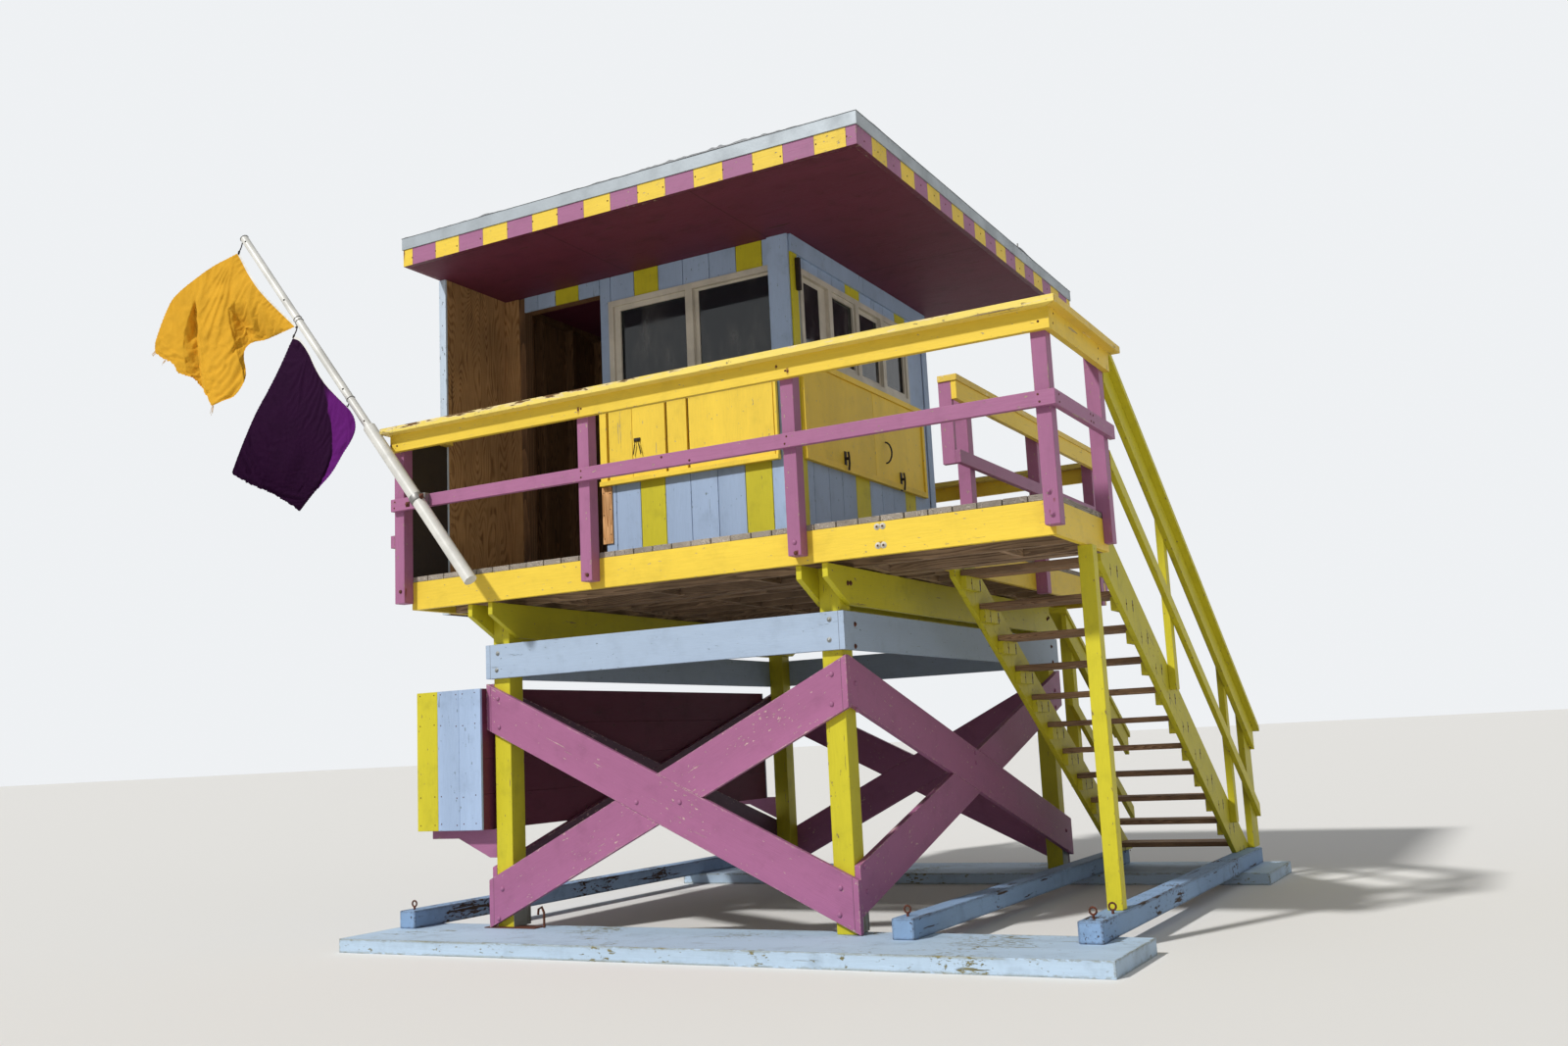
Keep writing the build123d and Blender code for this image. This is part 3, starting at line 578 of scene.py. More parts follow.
def left_panel_paint(shader):
    """The left panels are purple, and dark on the faces that look right, inwards."""
    inside = shader.math("GREATER_THAN", shader.parts(shader.normal())[0], 0.5)
    return shader.mix(inside, purple, "332A26")


def post_paint(shader):
    """Lime, but bare grey low down on the faces that look sideways."""
    sideways = shader.math("GREATER_THAN", shader.math("ABSOLUTE", shader.parts(shader.normal())[0]), 0.5)
    low = shader.math("LESS_THAN", shader.parts()[2], 0.285)
    return shader.mix(shader.times(sideways, low), lime, "9A9A90")


def seamed_paint(code):
    """Paint over the corner's end seam, where the cross board laps the side board."""
    def paint(shader):
        low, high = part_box("cross_bands")
        middle = (low.x + high.x) / 2
        out = shader.math("ABSOLUTE", shader.math("SUBTRACT", shader.parts()[0], middle))
        gap = shader.math("ABSOLUTE", shader.math("SUBTRACT", out, high.x - middle - plank))
        return shader.mix(shader.ramp(gap, 0.0022, 0.0012, 0.0, 0.75), code, "3A3038")
    return paint


def checker_paint(shader):
    """Yellow and purple squares along the roof's edge, counted from its front corners."""
    low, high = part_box("roof_fascia")
    x, y = shader.parts()[:2]
    normal = shader.parts(shader.normal())
    on_side = shader.math("GREATER_THAN", shader.math("ABSOLUTE", normal[0]), 0.7)
    cross = shader.math("MULTIPLY_ADD", x, 1 / checker_pitch, 0.6 - low.x / checker_pitch)
    side = shader.math("MULTIPLY_ADD", y, 1 / checker_pitch, 1.0 - low.y / checker_pitch)
    count = shader.choose(on_side, cross, side)
    odd = shader.math("FLOORED_MODULO", shader.math("FLOOR", count), 2.0)
    line = shader.math("LESS_THAN", shader.math("FRACT", count), 0.016)
    squares = shader.mix(shader.times(line, 0.7), shader.mix(odd, yellow, purple), "4A2A26")
    return shader.mix(shader.math("LESS_THAN", normal[2], -0.5), squares, plum)


def cap_splits(shader):
    """Where the caps' paint has torn: along the front's upper corner, most of it at the left end."""
    x, y, z = shader.parts()
    return shader.times(
        shader.ramp(z, cap_top - 0.040, cap_top - 0.012), shader.ramp(x, 2.2, -0.2, 0.35, 1.0),
        shader.ramp(y, -2.38, -2.42, 0.4, 1.0), 0.7)


def cloth_material(name, colour, sunlit_colour=None):
    """Woven nylon with soft creases and patches of tone; a sunlit colour, where given, is painted light on the
    part that the tone attribute marks.
    """
    shader = Shader(name)
    weave = shader.noise(shader.place(), 900.0, 2.0)
    broad = shader.noise(shader.place(), 6.0, 4.0)
    crease = shader.noise(shader.drawn(0.35), 16.0, 4.0, 0.5)
    shade = shader.mix(shader.ramp(broad, 0.3, 0.8), colour, darker(colour, 0.84))
    # painted sunlight, where the tone marks it
    if sunlit_colour:
        shade = shader.mix(shader.tone(), shade, sunlit_colour)
    shader.finish(shade, 0.85, shader.math("MULTIPLY_ADD", crease, 6.0, weave), 0.0008, 0.1)


caps = {"peel": 0.6, "reach": 0.014, "torn": cap_splits}
painted_wood("yellow_x", yellow, primer, x_grain, 0.1, 0.4, 0.3, spots=upper_rail_rust)
painted_wood("yellow_y", yellow, primer, y_grain, 0.1, 0.5, 0.3)
# the shutters' yellow is lighter than the other yellow: painted light that makes up for the shade of the roof
# over them
painted_wood("shutter_yellow_lit", "F6D246", primer, z_grain, 0.0, 0.45, 0.2)
painted_wood("cap_x", "EDD468", "B39C6C", x_grain, 0.8, 0.4, 0.6, **caps)
painted_wood("cap_y", "E2C04C", "B39C6C", y_grain, 0.8, 0.5, 0.6, **caps)
painted_wood("lime_y", lime, old_wood, y_grain, 0.3, 0.6, 0.5)
painted_wood("lime_z", lime, old_wood, z_grain, 0.1, 0.6, 0.4)
painted_wood("post_lime", post_paint, old_wood, z_grain, 0.1, 0.6, 0.4)
painted_wood("lime_stair", lime, old_wood, stringer_grain, 0.4, 0.7, 0.7, spots=stair_stains_and_hole_shade)
painted_wood("lime_handrail", lime, old_wood, handrail_grain, 0.4, 0.6, 0.7)
painted_wood("purple_x", purple, primer, x_grain, 0.3, 0.5, 0.5)
painted_wood("purple_y", purple, primer, y_grain, 0.3, 0.5, 0.5)
painted_wood("purple_z", purple, primer, z_grain, 0.3, 0.5, 0.5, spots=post_rust)
painted_wood("left_rail", left_rail_paint, primer, y_grain, 0.6, 0.5, 0.8)
painted_wood("left_panel", left_panel_paint, "3E3026", z_grain, 0.5, 0.9, 0.8)
painted_wood("blue_x", seamed_paint(band_blue), aqua_wood, x_grain, 0.0, 0.4, 0.4)
painted_wood("blue_y", band_blue, aqua_wood, y_grain, 0.0, 0.4, 0.4)
painted_wood("blue_z", wall_blue, aqua_wood, z_grain, 0.1, 0.6, 0.4, 0.55)
painted_wood("pale_blue", "BCCAD8", aqua_wood, z_grain, 0.4, 0.5, 0.5)
painted_wood("base_x", "B8CDE0", "8B8560", x_grain, 1.6, 0.8, 1.2, 0.65, peel=0.9, reach=0.03)
painted_wood("base_y", "86A2C2", "4A3D33", y_grain, 1.8, 0.9, 1.4, 0.65, peel=1.1, reach=0.03)
painted_wood("plum", soffit_paint, dark_wood, x_grain, 0.2, 0.9, 0.2, 0.62)
painted_wood("locker_side", plum, dark_wood, y_grain, 0.3, 0.9, 0.5, 0.6)
painted_wood("falling_purple", seamed_paint("A5658B"), "D6B4B0", brace_grain(True), 0.9, 0.5, 1.0)
painted_wood("rising_purple", seamed_paint("A5658B"), "D6B4B0", brace_grain(False), 0.9, 0.5, 1.0)
painted_wood(
    "checker", checker_paint, primer, x_grain, 0.6, 0.5, 0.6,
    spots=rust_spots(-2.212, ((-1.262, 4.940, 0.012, 0.10),)))
bare_wood("deck_boards", "B3A899", "6A5F53", y_grain, 22.0, 1.0)
# painted shade: a darker copy of the deck wood for the boards' undersides
bare_wood("deck_shaded_under", "6A5848", "43352A", y_grain, 22.0)
bare_wood("joist_wood", "B89878", "765E47", x_grain, 20.0)
bare_wood("block_joist", "B89878", "765E47", y_grain, 20.0)
bare_wood("tread_wood", "AC8866", "6C5038", x_grain, 20.0, 0.8)
bare_wood("stud_wood", "8A6542", "553B22", z_grain, 18.0)
bare_wood("pine", "DDA870", "AA753F", z_grain, 16.0, 0.2)
bare_wood("block_wood", "B8B5AC", "77746C", z_grain, 14.0, 0.9)
plywood("ply")
plain_metal("frame_white", "CFC8B8", 0.5, 0.0, 0.12)
plain_metal("drip", "A3ABB0", 0.45, 0.2, 0.15)
plain_metal("white_pole", "E0DED6", 0.38, 0.0, 0.10)
plain_metal("strap", "8E8C88", 0.45, 0.8, 0.35)
plain_metal("rusty", "5C3320", 0.75, 0.3, 0.9, 60.0)
plain_metal("dark_iron", "2E2622", 0.6, 0.5, 0.5, 80.0)
plain_metal("galvanised", "A7A9A6", 0.5, 0.6, 0.25, 60.0)
roof_felt("felt")
dusty_glass("glass")
cloth_material("tape", "E4E2DC")
cloth_material("yellow_cloth", "D7A12C")
# the purple flag's second colour is painted sunlight on its folded strip
cloth_material("purple_cloth", "260428", "5C1668")
Shader("floor").finish((0.78, 0.76, 0.72, 1.0), 0.9)


# nodes whose shape is already right, by material and width of the rounded edges

for material, edges, *nodes in (
    ("base_x", 0.006, "sleepers"),
    ("base_y", 0.008, "skids"),
    ("post_lime", 0.005, "main_posts"),
    ("block_wood", 0.004, "foot_blocks"),
    ("lime_y", 0.004, "girders"),
    ("blue_x", 0.003, "cross_bands"),
    ("blue_y", 0.003, "side_bands"),
    ("falling_purple", 0.004, "falling_braces"),
    ("rising_purple", 0.004, "rising_braces"),
    ("purple_x", 0.003, "locker_brackets"),
    ("purple_x", 0.004, "cross_mid_rails"),
    ("purple_y", 0.004, "side_mid_rails"),
    ("purple_z", 0.004, "front_rail_posts", "side_rail_posts", "back_rail_posts"),
    ("yellow_x", 0.003, "front_fascia", "back_fascia"),
    ("yellow_x", 0.004, "cross_upper_rails"),
    ("yellow_y", 0.003, "side_fascias"),
    ("yellow_y", 0.004, "side_upper_rails"),
    ("joist_wood", 0.003, "joists", "landing_rim"),
    ("left_rail", 0.003, "left_rails"),
    ("left_panel", 0.002, "left_panels"),
    ("frame_white", 0.002, "window_frames"),
    ("glass", 0.0, "window_panes"),
    ("plum", 0.0, "roof_slab"),
    ("checker", 0.002, "roof_fascia"),
    ("drip", 0.002, "drip_edge"),
    ("strap", 0.0, "antennas"),
    ("strap", 0.001, "pole_clamp"),
    ("lime_stair", 0.004, "stringers"),
    ("lime_z", 0.004, "landing_post", "stair_posts"),
    ("lime_handrail", 0.004, "handrail_caps", "handrail_boards"),
    ("white_pole", 0.0, "flagpole"),
):
    for node in nodes:
        dress(node, material, edges)


# wide cap boards on the rails

def rectangle(x0, x1, y0, y1):
    """A plan for add_slab."""
    return (x0, y0), (x1, y0), (x1, y1), (x0, y1)


def build_caps():
    """The front cap and the landing's meet in a mitre; the others butt against them."""
    low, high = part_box("cross_caps")
    foot = cap_top - 0.044
    wide = 0.200
    side_wide = 0.140
    joint = 0.0015
    front = low.y - 0.048
    right = high.x + 0.016
    back = high.y - side_wide
    side_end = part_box("side_rail_posts")[0].y + 0.185
    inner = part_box("side_upper_rails")[0].x
    mesh = new_mesh()
    mitre = (right - joint, front), (right - wide - joint, front + wide)
    add_slab(mesh, ((low.x, front), *mitre, (low.x, front + wide)), foot, cap_top)
    add_slab(mesh, rectangle(low.x, inner + 0.038, back, high.y), foot, cap_top)
    piece("cross_cap_boards", mesh, ["cap_x"], "yellow_paint", 0.004, "cross_caps")

    mesh = new_mesh()
    left = low.x, low.x + side_wide
    mitre = (right - wide, front + wide + joint), (right, front + joint)
    add_slab(mesh, (mitre[1], (right, side_end), (right - wide, side_end), mitre[0]), foot, cap_top)
    add_slab(mesh, rectangle(inner - 0.089, inner + 0.048, side_end - 0.075, back - joint), foot, cap_top)
    add_slab(mesh, rectangle(*left, front + wide + joint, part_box("wing_wall")[0].y), foot, cap_top)
    add_slab(mesh, rectangle(*left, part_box("left_wall")[1].y, back - joint), foot, cap_top)
    piece("side_cap_boards", mesh, ["cap_y"], "yellow_paint", 0.004, "side_caps")


build_caps()


# deck boards run front to back

def build_deck():
    low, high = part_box("deck")
    deck_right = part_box("back_fascia")[1].x + plank
    gap = 0.006
    mesh = new_mesh()
    for start, end, back, count in (
        (low.x, deck_right, high.y, 25), (deck_right, high.x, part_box("landing_rim")[1].y, 7),
    ):
        pitch = (end - start) / count
        for i in range(count):
            x0 = start + i * pitch + gap / 2
            front = low.y + draws.uniform(0.0, 0.006)
            top = high.z - draws.uniform(0.0, 0.0015)
            add_box(mesh, (x0, front, low.z), (x0 + pitch - gap, back - draws.uniform(0.0, 0.004), top))
    # faces that look down get the darker copy, painted shade under the deck
    mesh.normal_update()
    for face in mesh.faces:
        face.material_index = int(face.normal.z < -0.5)
    piece("deck_boards", mesh, ["deck_boards", "deck_shaded_under"], "bare_wood", 0.004, "deck")


build_deck()


# stair treads are pairs of boards

def tread_nose(top):
    """The nosing of a tread whose top is at a height, as the stringers' slope sets it."""
    return landing_back + (stringer_top - top - tread_drop) / stringer_slope


def build_treads():
    low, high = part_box("treads")
    boards = new_mesh()
    cleats = new_mesh()
    gap = 0.008
    proud = 0.001
    board_depth = (tread_depth - gap) / 2
    for k in range(11):
        top = first_tread - k * riser
        nose = tread_nose(top)
        start = nose - tread_depth
        for y0 in (start, start + board_depth + gap):
            add_box(boards, (low.x, y0, top - plank), (high.x, y0 + board_depth, top))
        foot = top - plank - cleat_height
        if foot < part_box("skids")[1].z:
            continue
        for x0, x1 in (
            (low.x - 2 * proud, low.x + plank + proud), (high.x - plank - proud, high.x + 2 * proud),
        ):
            add_box(cleats, (x0, start + proud, foot), (x1, nose - proud, top - plank - proud))
    piece("tread_boards", boards, ["tread_wood"], "brown_wood", 0.006, "treads")
    piece("tread_cleats", cleats, ["lime_stair"], "lime_paint", 0.003)


build_treads()


# cabin walls: boards outside, studs inside

siding = 0.020
lining = 0.004
wall_depth = 0.100
board_gap = 0.0022
stud = 0.038
stud_pitch = 0.41
wall_materials = ["blue_z", "lime_z", "stud_wood"]
BLUE, LIME, STUD = 0, 1, 2


def wall_boards(mesh, place, seams, limes, z0, z1, hole=None):
    """Upright boards between seams, bare inside; place(a0, a1, d0, d1) gives plan corners from depths."""
    for i, (a0, a1) in enumerate(zip(seams, seams[1:])):
        tone = draws.random()
        spans = [(a0, a1, z0, z1)]
        if hole and a0 < hole[1] and a1 > hole[0]:
            spans = [(a0, a1, z0, hole[2]), (a0, a1, hole[3], z1)]
            if a0 < hole[0]:
                spans.append((a0, hole[0], *hole[2:]))
            if a1 > hole[1]:
                spans.append((hole[1], a1, *hole[2:]))
        for b0, b1, c0, c1 in spans:
            (x0, y0), (x1, y1) = place(b0 + board_gap, b1 - board_gap, 0.0, siding - lining)
            add_box(mesh, (x0, y0, c0), (x1, y1, c1), LIME if i in limes else BLUE, tone)
            (x0, y0), (x1, y1) = place(b0, b1, siding - lining, siding)
            add_box(mesh, (x0, y0, c0), (x1, y1, c1), STUD, 0.3)


def even_seams(start, end, pitch):
    """Seams from start to end, as near to a pitch as they divide."""
    count = max(1, round((end - start) / pitch))
    return [start + (end - start) * i / count for i in range(count + 1)]


def add_studs(mesh, place, start, end, z0, z1, hole=None):
    """Studs with plates at top and bottom, and trimmers round an opening."""
    def add_stud(a0, a1, c0, c1):
        (x0, y0), (x1, y1) = place(a0, a1, siding, wall_depth)
        add_box(mesh, (x0, y0, c0), (x1, y1, c1), STUD)

    for z in (z0, z1 - stud):
        add_stud(start, end, z, z + stud)
    places = [start + i * stud_pitch for i in range(int((end - start) / stud_pitch) + 1)]
    for a in [a for a in places if a + 2 * stud < end] + [end - stud]:
        if hole and a < hole[1] and a + stud > hole[0]:
            add_stud(a, a + stud, z0 + stud, hole[2] - stud)
            add_stud(a, a + stud, hole[3] + stud, z1 - stud)
        else:
            add_stud(a, a + stud, z0 + stud, z1 - stud)
    if hole:
        for z in (hole[2] - stud, hole[3]):
            add_stud(hole[0], hole[1], z, z + stud)


def facing(axis, face, turn):
    """Plan corners for a wall whose outer face is at a value on x or y; turn is the way inwards."""
    def corners(a0, a1, d0, d1):
        inner = sorted((face + turn * d0, face + turn * d1))
        if axis == "x":
            return (inner[0], a0), (inner[1], a1)
        return (a0, inner[0]), (a1, inner[1])
    return corners


def build_front_wall():
    low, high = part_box("front_wall")
    hole = (-0.2165, 1.2375, 3.860, 4.626)
    seams = [low.x, -0.2015, 0.0185, 0.2385, 0.4585, 0.6885, 0.9185, 1.1385, high.x]
    mesh = new_mesh()
    place = facing("y", low.y, 1)
    wall_boards(mesh, place, seams, (2, 6), low.z, high.z, hole)
    add_studs(mesh, place, low.x, high.x, low.z, high.z, hole)
    add_box(mesh, (high.x - 0.165, low.y - 0.022, hole[2]), (high.x, low.y, high.z), BLUE)
    piece("front_siding", mesh, wall_materials, "blue_paint", 0.003, "front_wall")


def build_back_wall():
    low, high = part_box("back_wall")
    hole = (-0.2515, 1.2025, 3.860, 4.626)
    mesh = new_mesh()
    place = facing("y", high.y, -1)
    wall_boards(mesh, place, even_seams(low.x, high.x, 0.22), (2, 6, 9), low.z, high.z, hole)
    add_studs(mesh, place, low.x, high.x, low.z, high.z, hole)
    piece("back_siding", mesh, wall_materials, "blue_paint", 0.003, "back_wall")


def build_right_wall():
    low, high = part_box("right_wall")
    hole = (-0.980, 0.910, 3.950, 4.612)
    seams = [low.y, -0.90, -0.66, -0.44, -0.21, 0.04, 0.26, 0.48, 0.71, 0.92, high.y]
    mesh = new_mesh()
    place = facing("x", high.x, -1)
    wall_boards(mesh, place, seams, (4, 8), low.z, high.z, hole)
    add_studs(mesh, place, low.y, high.y, low.z, high.z, hole)
    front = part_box("front_wall")[0].y
    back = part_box("back_wall")[1].y
    top = high.z - 0.13
    for y0, y1, z0, z1, depth, paint in (
        (front, front + 0.10, low.z, top, 0.012, LIME), (back - 0.10, back + 0.002, low.z, top, 0.012, BLUE),
        (front, 0.08, top, high.z, 0.020, BLUE), (0.083, back, top, high.z, 0.020, BLUE),
    ):
        add_box(mesh, (high.x, y0, z0), (high.x + depth, y1, z1), paint)
    piece("right_siding", mesh, wall_materials, "blue_paint", 0.003, "right_wall")


def build_left_wall():
    """The left wall, with plywood and a bare jamb at the doorway."""
    low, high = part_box("left_wall")
    mesh = new_mesh()
    place = facing("x", low.x, 1)
    wall_boards(mesh, place, even_seams(low.y, high.y, 0.22), (2, 7), low.z, high.z)
    add_studs(mesh, place, low.y, high.y, deck_top, high.z)
    jamb = high.x - 0.055
    add_box(mesh, (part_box("wing_wall")[1].x, low.y - 0.004, deck_top), (jamb, low.y + 0.010, high.z), 3, 0.37)
    add_box(mesh, (low.x + 0.1, low.y + 0.012, deck_top), (low.x + 0.138, low.y + 0.1, high.z), STUD)
    add_box(mesh, (jamb, low.y + 0.006, deck_top), (high.x, low.y + 0.1, high.z), STUD, 0.0)
    piece("left_siding", mesh, wall_materials + ["ply"], "blue_paint", 0.003, "left_wall")


def build_header():
    low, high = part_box("door_header")
    mesh = new_mesh()
    seams = [low.x, -0.90, -0.7275, -0.5035, high.x]
    wall_boards(mesh, facing("y", low.y, 1), seams, (2,), low.z, high.z)
    add_box(mesh, (low.x, low.y + siding, low.z), (high.x, high.y, high.z), STUD)
    piece("header_boards", mesh, wall_materials, "blue_paint", 0.003, "door_header")


def build_wing():
    """The bare plywood wing beside the doorway, boarded on its outer side."""
    low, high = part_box("wing_wall")
    mesh = new_mesh()
    skin = 0.012
    start = low.y + 0.018
    add_box(mesh, (high.x - skin, start, low.z), high, 3, 0.37)
    wall_boards(mesh, facing("x", low.x, 1), even_seams(start, high.y, 0.22), (2,), low.z, high.z)
    for y0 in (start, high.y - stud):
        add_box(mesh, (low.x + siding, y0, low.z), (high.x - skin, y0 + stud, high.z), STUD)
    add_box(mesh, low, (high.x, start, high.z), 4)
    piece("wing_boards", mesh, wall_materials + ["ply", "pale_blue"], "plywood", 0.002, "wing_wall")


build_front_wall()
build_back_wall()
build_right_wall()
build_left_wall()
build_header()
build_wing()


# shutters folded down under the windows, their ironwork and the sashes

def frame_bars(a0, a1, z0, z1, near, far, rail):
    """The bars of a frame: two uprights, then the top and the bottom rail between them."""
    return (
        (a0, a0 + near, z0, z1), (a1 - far, a1, z0, z1),
        (a0 + near, a1 - far, z1 - rail, z1), (a0 + near, a1 - far, z0, z0 + rail),
    )


def build_shutter_iron():
    """Turn latches, a curved handle and two hooks on the shutters, and a bar beside the window."""
    mesh = new_mesh()
    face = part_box("shutters")[1].x
    for y, z in ((-0.43, 3.262), (0.58, 3.252)):
        add_box(mesh, (face - 0.015, y - 0.016, z - 0.075), (face - 0.006, y + 0.016, z + 0.075))
        add_rod(mesh, [(face - 0.006, y, z + 0.02), (face + 0.018, y, z + 0.02)], 0.012)
        wing = (0.014, -0.07), (0.020, -0.02), (0.020, 0.03), (0.014, 0.07)
        add_rod(mesh, [(face + out, y, z + up) for out, up in wing], 0.008)
    turns = [pi * i / 8 for i in range(9)]
    add_rod(mesh, [
        (face - 0.010 + 0.045 * sin(t), 0.300 + 0.020 * sin(t), 3.445 - 0.085 * cos(t)) for t in turns
    ], 0.007)
    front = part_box("shutters")[0].y
    for x, tip in ((0.010, -0.002), (0.045, 0.065)):
        add_rod(mesh, [
            (x, front + 0.006, 3.500), (x, front - 0.012, 3.500), (x + 0.004, front - 0.012, 3.470),
            (tip, front - 0.010, 3.400), (tip, front - 0.016, 3.392)], 0.0045)
    add_box(mesh, (0.000, front + 0.004, 3.495), (0.055, front - 0.004, 3.520))
    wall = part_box("right_wall")[1].x
    add_box(mesh, (wall + 0.012, -1.052, 4.42), (wall + 0.045, -1.022, 4.66))
    piece("shutter_iron", mesh, ["dark_iron"], "strap_steel", 0.001)


def build_sashes():
    """Sliding sashes inside the window frames, some in front and some behind."""
    mesh = new_mesh()
    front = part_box("window_frames")[0].y
    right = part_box("window_frames")[1].x
    thick = 0.018
    for x0, x1, depth, rail, near, far in (
        (-0.1715, 0.4805, 0.014, 0.040, 0.055, 0.012), (0.5405, 1.1925, 0.030, 0.018, 0.036, 0.010),
    ):
        for b0, b1, c0, c1 in frame_bars(x0, x1, 3.905, 4.581, near, far, rail):
            add_box(mesh, (b0, front + depth, c0), (b1, front + depth + thick, c1))
    for y0, y1, depth, far in (
        (-0.935, -0.530, 0.030, 0.110), (-0.470, -0.065, 0.012, 0.034), (-0.005, 0.400, 0.030, 0.020),
        (0.460, 0.865, 0.012, 0.030),
    ):
        for b0, b1, c0, c1 in frame_bars(y0, y1, 3.995, 4.567, 0.022, far, 0.035):
            add_box(mesh, (right - depth - thick, b0, c0), (right - depth, b1, c1))
    piece("window_sashes", mesh, ["frame_white"], "frame_white", 0.002)


def build_front_shutter():
    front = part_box("shutters")[0].y
    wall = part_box("front_wall")[0].y
    left, right = -0.3115, 1.2185
    z0, z1 = 3.205, 3.850
    groove = front + 0.030
    mesh = new_mesh()
    # the board behind the grooves is bare dark wood, which also paints shade into the grooves
    add_box(mesh, (left, groove, z0 + 0.001), (right, wall, z1 - 0.001), 1)
    for x0, x1 in ((left, -0.250), (-0.232, -0.020), (-0.017, 0.274), (0.294, 0.462), (0.482, right - 0.030)):
        back = 0.0 if x0 == left else 0.005
        add_box(mesh, (x0, front + back, z0 + 0.025), (x1, groove, z1))
    add_box(mesh, (right - 0.022, front, z0 + 0.025), (right, groove, z1))
    add_box(mesh, (left - 0.004, front - 0.014, z0 - 0.012), (right + 0.004, groove, z0 + 0.024))
    piece("front_shutter", mesh, ["shutter_yellow_lit", "stud_wood"], "yellow_paint", 0.003, "shutters")


def build_side_shutter():
    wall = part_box("right_wall")[1].x
    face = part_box("shutters")[1].x
    y0, y1 = -1.060, 1.100
    z0, z1 = 3.185, 3.940
    rim = 0.045
    gap = 0.0015
    mesh = new_mesh()
    seams = (y0 + rim, 0.118, y1 - rim)
    for a0, a1 in zip(seams, seams[1:]):
        add_box(mesh, (wall, a0 + gap, z0 + rim), (face - 0.014, a1 - gap, z1 - rim))
    near, far, top, bottom = frame_bars(y0, y1, z0, z1, rim, rim, rim)
    for a0, a1, c0, c1 in (near, far, bottom, top):
        add_box(mesh, (wall, a0, c0), (face, a1, c1))
    piece("side_shutter", mesh, ["shutter_yellow_lit"], "yellow_paint", 0.003)


def build_back_shutter():
    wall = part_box("back_wall")[1].y
    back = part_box("shutters")[1].y
    groove = back - 0.014
    z0, z1 = 3.205, 3.850
    mesh = new_mesh()
    seams = even_seams(-0.2515, 1.2025, 0.24)
    add_box(mesh, (seams[0], wall, z0 + 0.001), (seams[-1], groove, z1 - 0.001))
    for x0, x1 in zip(seams, seams[1:]):
        add_box(mesh, (x0 + 0.006, groove, z0), (x1 - 0.006, back, z1))
    piece("back_shutter", mesh, ["shutter_yellow_lit"], "yellow_paint", 0.003)


build_shutter_iron()
build_sashes()
build_front_shutter()
build_side_shutter()
build_back_shutter()


# board locker

def build_locker():
    low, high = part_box("locker")
    mesh = new_mesh()
    skin = 0.020
    seams = [low.x, low.x + 0.19, low.x + 0.385, high.x]
    for y in (low.y, high.y - skin):
        for x0, x1, paint in zip(seams, seams[1:], (1, 0, 0)):
            add_box(mesh, (x0, y, low.z), (x1, y + skin, high.z), paint)
    runs = even_seams(low.z, high.z, 0.24)
    x0, y0 = low.x + skin, low.y + skin
    x1, y1 = high.x - skin, high.y - skin
    for z0, z1 in zip(runs, runs[1:]):
        add_box(mesh, (low.x, y0, z0), (x0, y1, z1), 0)
        add_box(mesh, (x1, y0, z0), (high.x, y1, z1), 2)
    add_box(mesh, (x0, y0, low.z), (x1, y1, low.z + skin), 2)
    add_box(mesh, (x0, y0, high.z - skin), (x1, y1, high.z), 0)
    piece("locker_boards", mesh, ["blue_z", "lime_z", "locker_side"], "blue_paint", 0.003, "locker")


build_locker()


# small wood and ironwork

to_front, to_back = (0, -1, 0), (0, 1, 0)
to_left, to_right = (-1, 0, 0), (1, 0, 0)
nail = (0.0065, 0.003)
screw = (0.007, 0.004)
frame_bolt = (0.010, 0.009)
painted_bolt = (0.016, 0.010)


def build_blocking():
    """Short blocks between the floor joists."""
    low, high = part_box("joists")
    pitch = 0.406
    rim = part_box("landing_rim")[0].y
    mesh = new_mesh()
    for i in range(1, 10):
        y0 = deck_front + i * pitch + plank
        y1 = y0 + pitch - plank
        if y0 < rim < y1:
            continue
        shift = 0.045 if i % 2 else 0.0
        for x in (-0.35, 0.45, 1.25, 2.05) + ((2.95,) if y1 < rim else ()):
            add_box(mesh, (x + shift, y0, low.z + 0.002), (x + shift + plank, y1, high.z - 0.002))
    piece("joist_blocks", mesh, ["block_joist"], "brown_wood", 0.003)


def build_door_strip():
    """A strip of new pine by the doorway."""
    mesh = new_mesh()
    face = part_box("front_wall")[0].y
    add_box(mesh, (-0.3255, face - 0.012, 2.760), (-0.2355, face, 3.190))
    piece("door_strip", mesh, ["pine"], "bare_wood", 0.002)


def build_nails():
    """Nails in the pine strip, the locker's front and the wing."""
    mesh = new_mesh()
    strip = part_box("front_wall")[0].y - 0.012
    for x, z in (
        (-0.312, 2.80), (-0.250, 2.83), (-0.312, 2.98), (-0.252, 3.02), (-0.310, 3.15), (-0.250, 3.14),
    ):
        add_dome(mesh, (x, strip, z), to_front, 0.005, 0.003)
    low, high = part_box("locker")
    for x in (low.x + 0.03, low.x + 0.16, low.x + 0.22, low.x + 0.36, low.x + 0.42, high.x - 0.05):
        for z in (low.z + 0.03, low.z + 0.22, high.z - 0.25, high.z - 0.03):
            add_dome(mesh, (x, low.y, z + 0.02 * draws.random()), to_front, 0.0045, 0.003)
    low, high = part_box("wing_wall")
    for k in range(12):
        z = low.z + 0.10 + k * 0.19
        add_dome(mesh, (high.x, low.y + 0.035, z), to_right, 0.004, 0.002)
        add_dome(mesh, ((low.x + high.x) / 2, low.y, z), to_front, 0.004, 0.002)
    piece("nails", mesh, ["rusty"], "strap_steel", 0)


